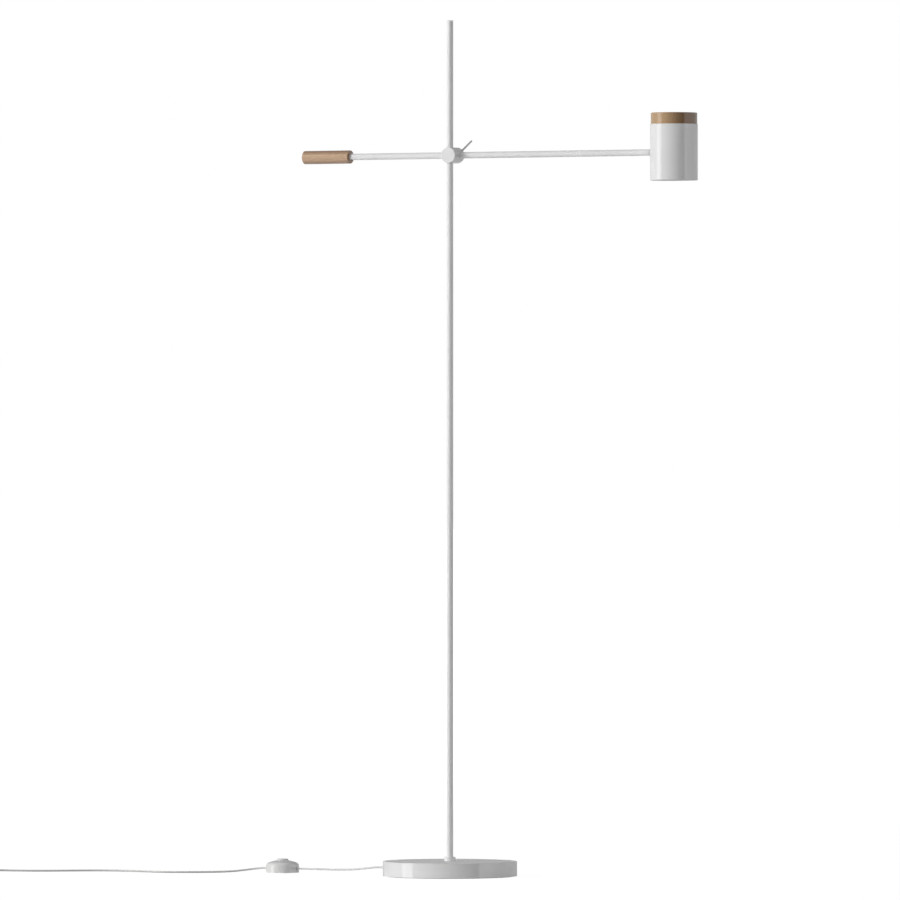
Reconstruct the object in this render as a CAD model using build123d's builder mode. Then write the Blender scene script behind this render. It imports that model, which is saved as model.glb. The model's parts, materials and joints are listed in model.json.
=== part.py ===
from build123d import *

import os
from math import ceil, cos, pi, radians, sin, sqrt, tan

# Adjustable arm floor lamp, in millimetres.
# The origin is on the floor under the pole, +Z runs up the pole and +X along the arm to the head.

# Fits
RUN_GAP = 0.06  # radial, between pieces that slide or turn on each other
FIT_GAP = 0.05  # between pieces that are fixed together
FACE_GAP = 0.3  # between faces that turn past each other

# Base
BASE_D = 251.0
BASE_H = 28.5  # floor to the top of the cover
BASE_WALL = 1.5
BASE_EDGE = 1.2
BASE_LIFT = 1.0  # floor to the rim of the cover
PAD_INSET = 7.0  # edge of the base to the pad
PAD_T = 2.5
BALLAST_T = 14.0
BALLAST_GAP = 0.4
SPACER_D = 34.0
LEAD_SLOT_L = 45.0
CORD_EXIT_Z = 14.2
GROMMET_WALL = 2.1
GROMMET_LIP = 1.4
GROMMET_LIP_T = 2.0
RELIEF_L = 20.0
RELIEF_ROOT_WALL = 1.8
RELIEF_TIP_WALL = 0.6
LEAD_LEVEL_L = 13.5  # level stretch of the lead inside the cover
LEAD_CLEAR = 0.6  # lead above the ballast
LEAD_LIFT = 0.3  # further rise of the lead towards the pole

# Pole
POLE_D = 12.0
POLE_WALL = 1.2
POLE_TOP = 1600.0
POLE_CAP_T = 3.0
POLE_CAP_EDGE = 0.6
POLE_CAP_SPIGOT_L = 8.0
COLLAR_WALL = 4.25
COLLAR_FLARE = 1.0
COLLAR_H = 8.0
COLLAR_EDGE = 0.8
POLE_PLUG_L = 9.0
POLE_PLUG_WALL = 0.7
POLE_SCREW_L = 15.0
POLE_SCREW_HEAD_D = 13.0
POLE_SCREW_HEAD_H = 4.0
POLE_SCREW_KEY_D = 6.9
POLE_SCREW_KEY_H = 2.2
POLE_WASHER_D = 24.0
POLE_WASHER_T = 1.5
LEAD_WINDOW_W = 5.0
LEAD_WINDOW_H = 8.0
LEAD_TURN_X = 1.6  # lead's corner beside the pole's axis
LEAD_END_DROP = 30.0  # end of the pole's lead below the clamp

# Clamp
CLAMP_Z = 1348.0
CLAMP_D = 29.5
CLAMP_EDGE = 0.7
ROD_GAP = 4.5  # free space between pole and arm
BUSH_L = 25.0
BUSH_WALL = 0.6
BUSH_BEAD = 0.3
BUSH_BEAD_W = 3.0
FRONT_WALL = 1.3  # clamp wall in front of the pole
MIDDLE_WALL = 0.9  # clamp wall between pole and friction washer
BRAKE_T = 0.3
BRAKE_INSET = 1.25
SWIVEL_D = 9.0
SWIVEL_FLANGE_D = 11.8
SWIVEL_FLANGE_T = 1.0
PIN_D = 5.0
REAR_WALL = 1.6  # clamp wall behind the arm
BOSS_D = 12.0
ARM_PAD_D = 9.0
ARM_PAD_T = 0.8
HUB_T = 5.5
HUB_EDGE = 2.6
LEVER_D = 3.5
LEVER_TIP = 41.6
LEVER_ROOT = 6.0
LEVER_EDGE = 1.0
LEVER_ANGLE = 41.0

# Arm
ARM_D = 12.0
ARM_WALL = 1.0
TAIL_REACH = 225.0  # clamp axis to the counterweight
HEAD_REACH = 469.0  # clamp axis to the head's axis
WEIGHT_D = 25.0
WEIGHT_L = 100.0
WEIGHT_LIP = 10.0
WEIGHT_INNER_EDGE = 1.2
WEIGHT_OUTER_EDGE = 0.8
WEIGHT_WALL = 3.2
CORE_SOCKET_L = 40.0
WEIGHT_PLUG_T = 8.0
SET_SCREW_D = 4.0
SET_SCREW_INSET = 14.0
NECK_D = 11.0
NECK_L = 7.4
NECK_EDGE = 0.4
NECK_SPIGOT_L = 18.0
SHANK_D = 8.0
SHANK_END_L = 1.7
SADDLE_W = 18.0
SADDLE_T = 5.5
NECK_WASHER_D = 15.0
NECK_WASHER_T = 1.2
NECK_NUT_D = 14.4
NECK_NUT_T = 5.0
LEAD_D = 3.0
LEAD_BORE_GAP = 0.4
ARM_LEAD_START = 8.0

# Head
SHADE_D = 88.0
SHADE_H = 104.0
SHADE_WALL = 1.5
SHADE_TOP_T = 2.0
SHADE_EDGE = 0.6
MOUTH_DROP = 52.0  # arm axis above the rim of the shade
CAP_INSET = 1.0  # side of the shade to the side of the cap
CAP_H = 21.0
CAP_EDGE = 1.2
CAP_SCREW_D = 3.8
CAP_SCREW_L = 14.0
CAP_SCREW_HEAD_D = 7.0
CAP_SCREW_HEAD_H = 2.2
CAP_SCREW_INSET = 9.5
CAP_SCREW_COUNT = 3
DIFFUSER_SET = 11.0  # rim of the shade to the diffuser
DIFFUSER_T = 2.0
DIFFUSER_RING_T = 1.5
DIFFUSER_RING_W = 4.0
BOARD_DROP = 11.0  # arm axis above the light board
BOARD_D = 46.0
BOARD_T = 2.0
EMITTER_D = 18.0
EMITTER_T = 1.0
REFLECTOR_T = 1.0
REFLECTOR_TOP_D = 24.0
REFLECTOR_INSET = 2.0
SINK_D = 48.0
SINK_CORE_D = 22.0
SINK_BASE_T = 6.0
FIN_T = 2.0
FIN_COUNT = 12
SINK_SCREW_D = 4.0
SINK_SCREW_L = 12.0
SINK_SCREW_HEAD_D = 7.2
SINK_SCREW_SEAT_T = 0.5
SINK_SCREW_RING = 6.0
HEAD_LEAD_IN = 14.0  # head's axis to the lead's drop
HEAD_LEAD_BEND = 4.0

# Foot switch
SWITCH_X = -366.0
SWITCH_Y = 2.5
SWITCH_D = 62.0
SWITCH_WALL = 2.0
SWITCH_LIFT = 0.5
SWITCH_SIDE_Z = 12.6
SWITCH_SHOULDER_Z = 19.4
SWITCH_SHOULDER_IN = 5.0
SWITCH_CROWN_Z = 24.2
SWITCH_PLATE_T = 2.5
PORT_Z = 8.3
PORT_GAP = 0.3
PORT_RECESS_D = 7.0
PORT_RECESS_DEPTH = 1.4
CORD_IN_SWITCH = 3.5
BUTTON_D = 22.0
BUTTON_TOP = 26.4
BUTTON_EDGE = 2.0
BUTTON_LIP = 1.5
BUTTON_LIP_T = 1.2
BUTTON_TRAVEL = 2.5
STEM_D = 6.0
CORE_BLOCK_W = 22.0
CORE_BLOCK_D = 16.0
CORE_BLOCK_H = 9.8
SPRING_WIRE = 0.8
SPRING_D = 10.0
SPRING_TURNS = 3
SWITCH_BOSS_D = 7.0
SWITCH_BOSS_INSET = 11.0
SWITCH_SKIN = 0.3  # wall left over the screw bosses
SWITCH_SCREW_D = 3.0
SWITCH_SCREW_L = 9.0
SWITCH_SCREW_HEAD_D = 5.6
SWITCH_SCREW_HEAD_H = 1.4
FOOT_D = 8.0
FOOT_SET = 0.7
FOOT_INSET = 10.0
FOOT_COUNT = 4

# Cord
CORD_D = 3.5
COIL_GAP = 0.5  # between neighbouring turns
COIL_INNER_R = 17.0
COIL_LAYERS = 4
COIL_LAYER_TURNS = 2
COIL_START_X = -899.0
COIL_START_Y = -233.5
COIL_HEADING = 205.0
COIL_LEAD_IN = 26.0
COIL_ANGLE_STEP = 0.02  # radians, for the coil's direction
BEND_SHARE = 0.45  # part of the shorter run that a bend takes
LAST_RUN_L = 48.0
LAST_RUN_LEVEL_L = 14.4
TIE_T = 0.8
TIE_W = 5.0
TIE_GAP = 0.3

# Plug-in adapter at the end of the cord
ADAPTER_L = 56.0
ADAPTER_W = 36.0
ADAPTER_H = 27.0
ADAPTER_WALL = 2.0
ADAPTER_EDGE = 3.0
ADAPTER_BACK_EDGE = 1.5
ADAPTER_INNER_EDGE = 2.0
ADAPTER_FACE_T = 3.0
ADAPTER_RIM_L = 4.0
ADAPTER_RELIEF_L = 20.0
PLUG_PIN_D = 4.0
PLUG_PIN_L = 19.0
PLUG_PIN_EDGE = 1.3
PLUG_PIN_SPACING = 18.6
DRIVER_SIDE_GAP = 3.0
DRIVER_TOP_GAP = 3.5

# Sizes that follow from those above
cord_r = CORD_D / 2
cord_bore_r = cord_r + FIT_GAP
grommet_r = cord_bore_r + GROMMET_WALL
grommet_lip_r = grommet_r + GROMMET_LIP
relief_root_r = cord_bore_r + RELIEF_ROOT_WALL
relief_tip_r = cord_bore_r + RELIEF_TIP_WALL
lead_slot_w = 2 * (grommet_lip_r + FACE_GAP)
base_r = BASE_D / 2
pad_r = base_r - PAD_INSET
ballast_r = base_r - BASE_WALL - BALLAST_GAP
ballast_top = PAD_T + BALLAST_T
cover_inside_z = BASE_H - BASE_WALL
screw_recess_h = POLE_WASHER_T + POLE_SCREW_HEAD_H + FACE_GAP
screw_seat_z = PAD_T + screw_recess_h
pole_r = POLE_D / 2
pole_bore_r = pole_r - POLE_WALL
pole_plug_r = pole_bore_r - FIT_GAP
pole_screw_r = pole_plug_r - POLE_PLUG_WALL - FIT_GAP
collar_r = pole_r + COLLAR_WALL
pole_foot_z = screw_seat_z + FACE_GAP
pole_tube_top = POLE_TOP - POLE_CAP_T
window_z = (ballast_top + cover_inside_z) / 2
relief_tip_x = -base_r - FIT_GAP - GROMMET_LIP_T - RELIEF_L

arm_r = ARM_D / 2
arm_y = pole_r + ROD_GAP + arm_r
bush_r = pole_r + RUN_GAP + BUSH_WALL
clamp_bore_r = bush_r + RUN_GAP
clamp_r = CLAMP_D / 2
brake_r = clamp_r - BRAKE_INSET
front_y = -clamp_bore_r - FRONT_WALL
middle_y = clamp_bore_r + MIDDLE_WALL
rear_y = middle_y + BRAKE_T + FIT_GAP
arm_bore_r = arm_r + RUN_GAP
flange_y = arm_y - arm_bore_r - FIT_GAP - SWIVEL_FLANGE_T
rear_back_y = arm_y + arm_bore_r + REAR_WALL
hub_y = rear_back_y + FACE_GAP
arm_pad_y = arm_y + arm_r + FIT_GAP

weight_x = -TAIL_REACH
core_r = WEIGHT_D / 2 - WEIGHT_WALL - FIT_GAP
core_x = weight_x - WEIGHT_LIP
weight_end_x = weight_x - WEIGHT_L
weight_plug_x = weight_end_x + WEIGHT_PLUG_T
core_end_x = weight_plug_x + FIT_GAP
arm_tail_x = core_x - CORE_SOCKET_L
shade_r = SHADE_D / 2
shade_bore_r = shade_r - SHADE_WALL
cap_r = shade_r - CAP_INSET
cap_screw_ring = cap_r - CAP_SCREW_INSET
neck_end_x = HEAD_REACH - shade_r - FACE_GAP
arm_end_x = neck_end_x - NECK_L
saddle_x = HEAD_REACH - shade_bore_r
neck_washer_x = saddle_x + SADDLE_T + RUN_GAP
neck_nut_x = neck_washer_x + NECK_WASHER_T
shank_end_x = neck_nut_x + NECK_NUT_T + SHANK_END_L
lead_r = LEAD_D / 2

mouth_z = CLAMP_Z - MOUTH_DROP
shade_top = mouth_z + SHADE_H
shade_ceiling = shade_top - SHADE_TOP_T
diffuser_z = mouth_z + DIFFUSER_SET
diffuser_ring_z = diffuser_z - DIFFUSER_RING_T
diffuser_top = diffuser_z + DIFFUSER_T
board_z = CLAMP_Z - BOARD_DROP
sink_z = board_z + BOARD_T
sink_screw_head_h = SHADE_TOP_T - SINK_SCREW_SEAT_T

switch_r = SWITCH_D / 2
switch_boss_y = switch_r - SWITCH_BOSS_INSET
foot_ring = switch_r - FOOT_INSET
switch_plate_top = SWITCH_LIFT + SWITCH_PLATE_T
core_top = switch_plate_top + CORE_BLOCK_H
crown_r = ((switch_r - SWITCH_SHOULDER_IN) ** 2 + (SWITCH_CROWN_Z - SWITCH_SHOULDER_Z) ** 2) / (
    2 * (SWITCH_CROWN_Z - SWITCH_SHOULDER_Z)
)
button_r = BUTTON_D / 2
button_lip_r = button_r + BUTTON_LIP
coil_pitch = CORD_D + COIL_GAP
coil_outer_r = COIL_INNER_R + COIL_LAYER_TURNS * coil_pitch
coil_z = TIE_T + TIE_GAP + cord_r
half_turn = pi
full_turn = 2 * pi
layer_angle = COIL_LAYER_TURNS * full_turn


def crown_height(radius):
    """Height of the switch's outer crown at a distance from its axis."""
    return SWITCH_CROWN_Z - crown_r + sqrt(crown_r**2 - radius**2)


button_lip_top = crown_height(button_lip_r) - SWITCH_WALL - FACE_GAP
button_lip_z = button_lip_top - BUTTON_LIP_T
stem_z = core_top + BUTTON_TRAVEL + FACE_GAP


# Planes of the sub-assemblies
def facing_y(y):
    """Plane square to the clamp's axis, facing away from the clamp's front."""
    return Plane(origin=(0, y, CLAMP_Z), x_dir=(1, 0, 0), z_dir=(0, 1, 0))


def facing_x(x):
    """Plane square to the arm's axis, facing the head."""
    return Plane(origin=(x, arm_y, CLAMP_Z), x_dir=(0, 1, 0), z_dir=(1, 0, 0))


def head_level(z):
    """Level plane on the head's axis."""
    return Plane(origin=(HEAD_REACH, arm_y, z))


def switch_level(z):
    """Level plane on the foot switch's axis."""
    return Plane(origin=(SWITCH_X, SWITCH_Y, z))


def keep(piece, label):
    """Name a finished piece and write it out."""
    piece.part.label = label
    export_step(piece.part, f"parts/{label}.step")


def bend_radii(points):
    """Largest radius that the two runs beside each inner point leave room for."""
    radii = []
    for before, here, after in zip(points, points[1:], points[2:]):
        run_in = Vector(here) - Vector(before)
        run_out = Vector(after) - Vector(here)
        half = radians(run_in.get_angle(run_out)) / 2
        radii.append(BEND_SHARE * min(run_in.length, run_out.length) / tan(half))
    return radii


def tube(label, points, radii, diameter):
    """Round tube along straight runs joined by tangent arcs."""
    with BuildPart() as piece:
        with BuildLine() as path:
            FilletPolyline(*points, radius=radii)
        with BuildSketch(Plane(origin=points[0], z_dir=Vector(points[1]) - Vector(points[0]))):
            Circle(diameter / 2)
        sweep(path=path.line)
    length = sum(edge.length for edge in path.edges())
    share = piece.part.volume / (pi * diameter**2 / 4 * length)
    print(label, "length", round(length, 1), "volume share", round(share, 5))
    print(label, "radii", [round(radius, 1) for radius in radii])
    keep(piece, label)
    return length


def biarc_tube(label, points, tangents, diameter, end_l):
    """Round tube along pairs of arcs through points, with a straight length at each end."""
    start = points[0] - tangents[0] * end_l
    end = points[-1] + tangents[-1] * end_l
    with BuildPart() as piece:
        with BuildLine() as path:
            Line(start, points[0])
            for point, tangent, goal, heading in zip(points, tangents, points[1:], tangents[1:]):
                span = goal - point
                both = tangent + heading
                square = both.dot(both) - 4
                middle = span.dot(both)
                reach = (middle - sqrt(middle**2 - square * span.dot(span))) / square
                corner = point + tangent * reach
                far_corner = goal - heading * reach
                joint = (corner + far_corner) * 0.5
                TangentArc(point, joint, tangent=tangent)
                TangentArc(joint, goal, tangent=far_corner - corner)
            Line(points[-1], end)
        with BuildSketch(Plane(origin=start, z_dir=tangents[0])):
            Circle(diameter / 2)
        sweep(path=path.line)
    edges = path.edges()
    length = sum(edge.length for edge in edges)
    share = piece.part.volume / (pi * diameter**2 / 4 * length)
    print(label, "length", round(length, 1), "volume share", round(share, 5))
    print(label, "least gap to itself", round(least_gap(edges, diameter), 2))
    keep(piece, label)
    return length


def least_gap(edges, diameter):
    """Smallest space between stretches of a tube that lie apart along its length."""
    spots = []
    travelled = 0
    for edge in edges:
        steps = max(1, ceil(edge.length / diameter * 2))
        for step in range(steps):
            spots.append((travelled + edge.length * step / steps, edge @ (step / steps)))
        travelled += edge.length
    apart = 3 * diameter
    gaps = [
        (spot - other).length - diameter
        for number, (place, spot) in enumerate(spots)
        for other_place, other in spots[number + 1 :]
        if other_place - place > apart
    ]
    return min(gaps)


os.makedirs("parts", exist_ok=True)

# Base
with BuildPart() as base_pad:
    with BuildSketch():
        Circle(pad_r)
    extrude(amount=PAD_T)
keep(base_pad, "base_pad")

with BuildPart() as base_ballast:
    with BuildSketch(Plane.XY.offset(PAD_T)):
        Circle(ballast_r)
        Circle(pole_r + FIT_GAP, mode=Mode.SUBTRACT)
        with Locations((-ballast_r, 0)):
            Rectangle(2 * LEAD_SLOT_L, lead_slot_w, mode=Mode.SUBTRACT)
    extrude(amount=BALLAST_T)
    with BuildSketch(Plane.XY.offset(PAD_T)):
        Circle(POLE_WASHER_D / 2 + FACE_GAP)
    extrude(amount=screw_recess_h, mode=Mode.SUBTRACT)
keep(base_ballast, "base_ballast")

with BuildPart() as base_spacer:
    with BuildSketch(Plane.XY.offset(ballast_top)):
        Circle(SPACER_D / 2)
        Circle(pole_r + FIT_GAP, mode=Mode.SUBTRACT)
        with Locations((-SPACER_D / 2, 0)):
            Rectangle(SPACER_D, lead_slot_w, mode=Mode.SUBTRACT)
    extrude(amount=cover_inside_z - ballast_top)
keep(base_spacer, "base_spacer")

with BuildPart() as base_cover:
    with BuildSketch(Plane.XY.offset(BASE_LIFT)):
        Circle(base_r)
    extrude(amount=BASE_H - BASE_LIFT)
    fillet(base_cover.edges().group_by(Axis.Z)[-1], BASE_EDGE)
    with BuildSketch(Plane.XY.offset(BASE_LIFT)):
        Circle(base_r - BASE_WALL)
    extrude(amount=cover_inside_z - BASE_LIFT, mode=Mode.SUBTRACT)
    with BuildSketch(Plane.XY.offset(cover_inside_z)):
        Circle(pole_r + FIT_GAP)
    extrude(amount=BASE_WALL, mode=Mode.SUBTRACT)
    with BuildSketch(Plane(origin=(-base_r, 0, CORD_EXIT_Z), x_dir=(0, 1, 0), z_dir=(1, 0, 0))):
        Circle(grommet_r + FIT_GAP)
    extrude(amount=2 * BASE_WALL, both=True, mode=Mode.SUBTRACT)
keep(base_cover, "base_cover")

# The grommet's profile runs outwards along the cord's axis from the inside of the cover
grommet_plane = Plane(origin=(-base_r, 0, CORD_EXIT_Z), x_dir=(-1, 0, 0), z_dir=(0, 1, 0))
grommet_inside = -BASE_WALL - FACE_GAP
grommet_outside = FIT_GAP + GROMMET_LIP_T
with BuildPart() as base_grommet:
    with BuildSketch(grommet_plane):
        with BuildLine():
            Polyline(
                (grommet_inside - GROMMET_LIP_T, cord_bore_r),
                (grommet_inside - GROMMET_LIP_T, grommet_lip_r),
                (grommet_inside, grommet_lip_r),
                (grommet_inside, grommet_r),
                (FIT_GAP, grommet_r),
                (FIT_GAP, grommet_lip_r),
                (grommet_outside, grommet_lip_r),
                (grommet_outside, relief_root_r),
                (grommet_outside + RELIEF_L, relief_tip_r),
                (grommet_outside + RELIEF_L, cord_bore_r),
                close=True,
            )
        make_face()
    revolve(axis=Axis((-base_r, 0, CORD_EXIT_Z), (-1, 0, 0)))
keep(base_grommet, "base_grommet")

# Pole
with BuildPart() as pole_collar:
    with BuildSketch(Plane.XZ):
        with BuildLine():
            Polyline(
                (pole_r + FIT_GAP, BASE_H),
                (collar_r + COLLAR_FLARE, BASE_H),
                (collar_r, BASE_H + COLLAR_H),
                (pole_r + FIT_GAP, BASE_H + COLLAR_H),
                close=True,
            )
        make_face()
    revolve(axis=Axis.Z)
    fillet(pole_collar.edges().group_by(Axis.Z)[-1].sort_by(SortBy.RADIUS)[-1], COLLAR_EDGE)
keep(pole_collar, "pole_collar")

with BuildPart() as pole_tube:
    with BuildSketch(Plane.XY.offset(pole_foot_z)):
        Circle(pole_r)
        Circle(pole_bore_r, mode=Mode.SUBTRACT)
    extrude(amount=pole_tube_top - pole_foot_z)
    with BuildSketch(Plane(origin=(0, 0, window_z), x_dir=(0, 1, 0), z_dir=(-1, 0, 0))):
        Rectangle(LEAD_WINDOW_W, LEAD_WINDOW_H)
    extrude(amount=POLE_D, mode=Mode.SUBTRACT)
keep(pole_tube, "pole_tube")

with BuildPart() as pole_cap:
    with BuildSketch(Plane.XY.offset(pole_tube_top)):
        Circle(pole_r)
    extrude(amount=POLE_CAP_T)
    fillet(pole_cap.edges().group_by(Axis.Z)[-1], POLE_CAP_EDGE)
    with BuildSketch(Plane.XY.offset(pole_tube_top)):
        Circle(pole_plug_r)
    extrude(amount=-POLE_CAP_SPIGOT_L)
keep(pole_cap, "pole_cap")

with BuildPart() as pole_plug:
    with BuildSketch(Plane.XY.offset(pole_foot_z)):
        Circle(pole_plug_r)
        Circle(pole_screw_r + FIT_GAP, mode=Mode.SUBTRACT)
    extrude(amount=POLE_PLUG_L)
keep(pole_plug, "pole_plug")

with BuildPart() as pole_washer:
    with BuildSketch(Plane.XY.offset(screw_seat_z - POLE_WASHER_T)):
        Circle(POLE_WASHER_D / 2)
        Circle(pole_screw_r + FIT_GAP, mode=Mode.SUBTRACT)
    extrude(amount=POLE_WASHER_T)
keep(pole_washer, "pole_washer")

screw_head_z = screw_seat_z - POLE_WASHER_T - POLE_SCREW_HEAD_H
with BuildPart() as pole_screw:
    with BuildSketch(Plane.XY.offset(screw_head_z)):
        Circle(POLE_SCREW_HEAD_D / 2)
    extrude(amount=POLE_SCREW_HEAD_H)
    with BuildSketch(Plane.XY.offset(screw_head_z + POLE_SCREW_HEAD_H)):
        Circle(pole_screw_r)
    extrude(amount=POLE_SCREW_L - POLE_SCREW_HEAD_H)
    with BuildSketch(Plane.XY.offset(screw_head_z)):
        RegularPolygon(POLE_SCREW_KEY_D / 2, 6)
    extrude(amount=POLE_SCREW_KEY_H, mode=Mode.SUBTRACT)
keep(pole_screw, "pole_screw")

# The lead goes from the strain relief over the ballast, through the pole's window and up the pole
lead_floor_z = ballast_top + cord_r + LEAD_CLEAR
lead_points = [
    (relief_tip_x, 0, CORD_EXIT_Z),
    (-base_r + LEAD_LEVEL_L, 0, CORD_EXIT_Z),
    (-base_r + LEAD_SLOT_L, 0, lead_floor_z),
    (-SPACER_D, 0, lead_floor_z + LEAD_LIFT),
    (-LEAD_TURN_X, 0, window_z),
    (0, 0, BASE_H + COLLAR_H),
    (0, 0, CLAMP_Z - LEAD_END_DROP),
]
tube("pole_lead", lead_points, bend_radii(lead_points), CORD_D)

# Clamp
with BuildPart() as pole_bush:
    with BuildSketch(Plane.XY.offset(CLAMP_Z)):
        Circle(bush_r)
    extrude(amount=BUSH_L / 2, both=True)
    with BuildSketch(Plane.XY.offset(CLAMP_Z)):
        Circle(bush_r + BUSH_BEAD)
    extrude(amount=BUSH_BEAD_W / 2, both=True)
    with BuildSketch(Plane.XY.offset(CLAMP_Z)):
        Circle(pole_r + RUN_GAP)
    extrude(amount=BUSH_L, both=True, mode=Mode.SUBTRACT)
keep(pole_bush, "pole_bush")

with BuildPart() as clamp_front:
    with BuildSketch(facing_y(front_y)):
        Circle(clamp_r)
    extrude(amount=middle_y - front_y)
    fillet(clamp_front.edges().group_by(Axis.Y)[0], CLAMP_EDGE)
    with BuildSketch(Plane.XY.offset(CLAMP_Z)):
        Circle(clamp_bore_r)
    extrude(amount=CLAMP_D, both=True, mode=Mode.SUBTRACT)
    with BuildSketch(Plane.XY.offset(CLAMP_Z)):
        Circle(clamp_bore_r + BUSH_BEAD)
    extrude(amount=BUSH_BEAD_W / 2 + RUN_GAP, both=True, mode=Mode.SUBTRACT)
    with BuildSketch(facing_y(0)):
        Circle(SWIVEL_D / 2 + FIT_GAP)
    extrude(amount=middle_y, mode=Mode.SUBTRACT)
keep(clamp_front, "clamp_front")

with BuildPart() as friction_washer:
    with BuildSketch(facing_y(middle_y)):
        Circle(brake_r)
        Circle(SWIVEL_D / 2 + FACE_GAP, mode=Mode.SUBTRACT)
    extrude(amount=BRAKE_T)
keep(friction_washer, "friction_washer")

pin_y = clamp_bore_r + BUSH_BEAD + FIT_GAP
with BuildPart() as swivel_screw:
    with BuildSketch(facing_y(pin_y)):
        Circle(SWIVEL_D / 2)
    extrude(amount=flange_y - pin_y)
    with BuildSketch(facing_y(flange_y)):
        Circle(SWIVEL_FLANGE_D / 2)
    extrude(amount=SWIVEL_FLANGE_T)
    with BuildSketch(facing_y(pin_y)):
        Circle(PIN_D / 2 + FIT_GAP)
    extrude(amount=arm_y, mode=Mode.SUBTRACT)
keep(swivel_screw, "swivel_screw")

with BuildPart() as pressure_pin:
    with BuildSketch(facing_y(pin_y)):
        Circle(PIN_D / 2)
    extrude(amount=arm_y - arm_r - FIT_GAP - pin_y)
keep(pressure_pin, "pressure_pin")

with BuildPart() as clamp_rear:
    with BuildSketch(facing_y(rear_y)):
        Circle(clamp_r)
    extrude(amount=rear_back_y - rear_y)
    with BuildSketch(facing_x(0)):
        Circle(arm_bore_r)
    extrude(amount=CLAMP_D, both=True, mode=Mode.SUBTRACT)
    with BuildSketch(facing_y(rear_y)):
        Circle(SWIVEL_D / 2 + RUN_GAP)
    extrude(amount=arm_y - rear_y, mode=Mode.SUBTRACT)
    with BuildSketch(facing_y(flange_y - RUN_GAP)):
        Circle(SWIVEL_FLANGE_D / 2 + RUN_GAP)
    extrude(amount=arm_y - flange_y, mode=Mode.SUBTRACT)
    with BuildSketch(facing_y(arm_y)):
        Circle(BOSS_D / 2 + RUN_GAP)
    extrude(amount=rear_back_y - arm_y, mode=Mode.SUBTRACT)
keep(clamp_rear, "clamp_rear")

with BuildPart() as arm_pad:
    with BuildSketch(facing_y(arm_pad_y)):
        Circle(ARM_PAD_D / 2)
    extrude(amount=ARM_PAD_T)
keep(arm_pad, "arm_pad")

lever_direction = (cos(radians(LEVER_ANGLE)), 0, sin(radians(LEVER_ANGLE)))
lever_centre = Vector(0, hub_y + HUB_T / 2, CLAMP_Z)
lever_plane = Plane(
    origin=lever_centre + Vector(*lever_direction) * LEVER_ROOT, x_dir=(0, 1, 0), z_dir=lever_direction
)
boss_tip_y = arm_pad_y + ARM_PAD_T + FIT_GAP
with BuildPart() as lever_hub:
    with BuildSketch(facing_y(hub_y)):
        Circle(clamp_r)
    extrude(amount=HUB_T)
    fillet(lever_hub.edges().group_by(Axis.Y)[-1], HUB_EDGE)
    with BuildSketch(facing_y(boss_tip_y)):
        Circle(BOSS_D / 2)
    extrude(amount=hub_y - boss_tip_y)
    with BuildSketch(lever_plane):
        Circle(LEVER_D / 2 + FIT_GAP)
    extrude(amount=CLAMP_D, mode=Mode.SUBTRACT)
keep(lever_hub, "lever_hub")

with BuildPart() as lever_rod:
    with BuildSketch(lever_plane):
        Circle(LEVER_D / 2)
    extrude(amount=LEVER_TIP - LEVER_ROOT)
    fillet(lever_rod.edges().sort_by_distance(lever_centre)[-1], LEVER_EDGE)
keep(lever_rod, "lever_rod")

# Arm with its counterweight
with BuildPart() as arm_tube:
    with BuildSketch(facing_x(arm_tail_x)):
        Circle(arm_r)
        Circle(arm_r - ARM_WALL, mode=Mode.SUBTRACT)
    extrude(amount=arm_end_x - arm_tail_x)
keep(arm_tube, "arm_tube")

with BuildPart() as counterweight_sleeve:
    with BuildSketch(facing_x(weight_end_x)):
        Circle(WEIGHT_D / 2)
    extrude(amount=WEIGHT_L)
    fillet(counterweight_sleeve.edges().group_by(Axis.X)[-1], WEIGHT_INNER_EDGE)
    fillet(counterweight_sleeve.edges().group_by(Axis.X)[0], WEIGHT_OUTER_EDGE)
    with BuildSketch(facing_x(weight_end_x)):
        Circle(core_r + FIT_GAP)
    extrude(amount=core_x - weight_end_x, mode=Mode.SUBTRACT)
    with BuildSketch(facing_x(core_x)):
        Circle(arm_r + FIT_GAP)
    extrude(amount=WEIGHT_LIP, mode=Mode.SUBTRACT)
keep(counterweight_sleeve, "counterweight_sleeve")

set_screw_x = core_x - SET_SCREW_INSET
set_screw_plane = Plane(origin=(set_screw_x, arm_y, CLAMP_Z + arm_r + FIT_GAP))
with BuildPart() as counterweight_core:
    with BuildSketch(facing_x(core_end_x)):
        Circle(core_r)
    extrude(amount=core_x - core_end_x)
    with BuildSketch(facing_x(arm_tail_x)):
        Circle(arm_r + FIT_GAP)
    extrude(amount=CORE_SOCKET_L, mode=Mode.SUBTRACT)
    with BuildSketch(set_screw_plane):
        Circle(SET_SCREW_D / 2 + FIT_GAP)
    extrude(amount=core_r, mode=Mode.SUBTRACT)
keep(counterweight_core, "counterweight_core")

with BuildPart() as counterweight_screw:
    with BuildSketch(set_screw_plane):
        Circle(SET_SCREW_D / 2)
    extrude(amount=sqrt(core_r**2 - (SET_SCREW_D / 2) ** 2) - arm_r - 2 * FIT_GAP)
keep(counterweight_screw, "counterweight_screw")

with BuildPart() as counterweight_plug:
    with BuildSketch(facing_x(weight_end_x)):
        Circle(core_r)
    extrude(amount=WEIGHT_PLUG_T)
keep(counterweight_plug, "counterweight_plug")

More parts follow.
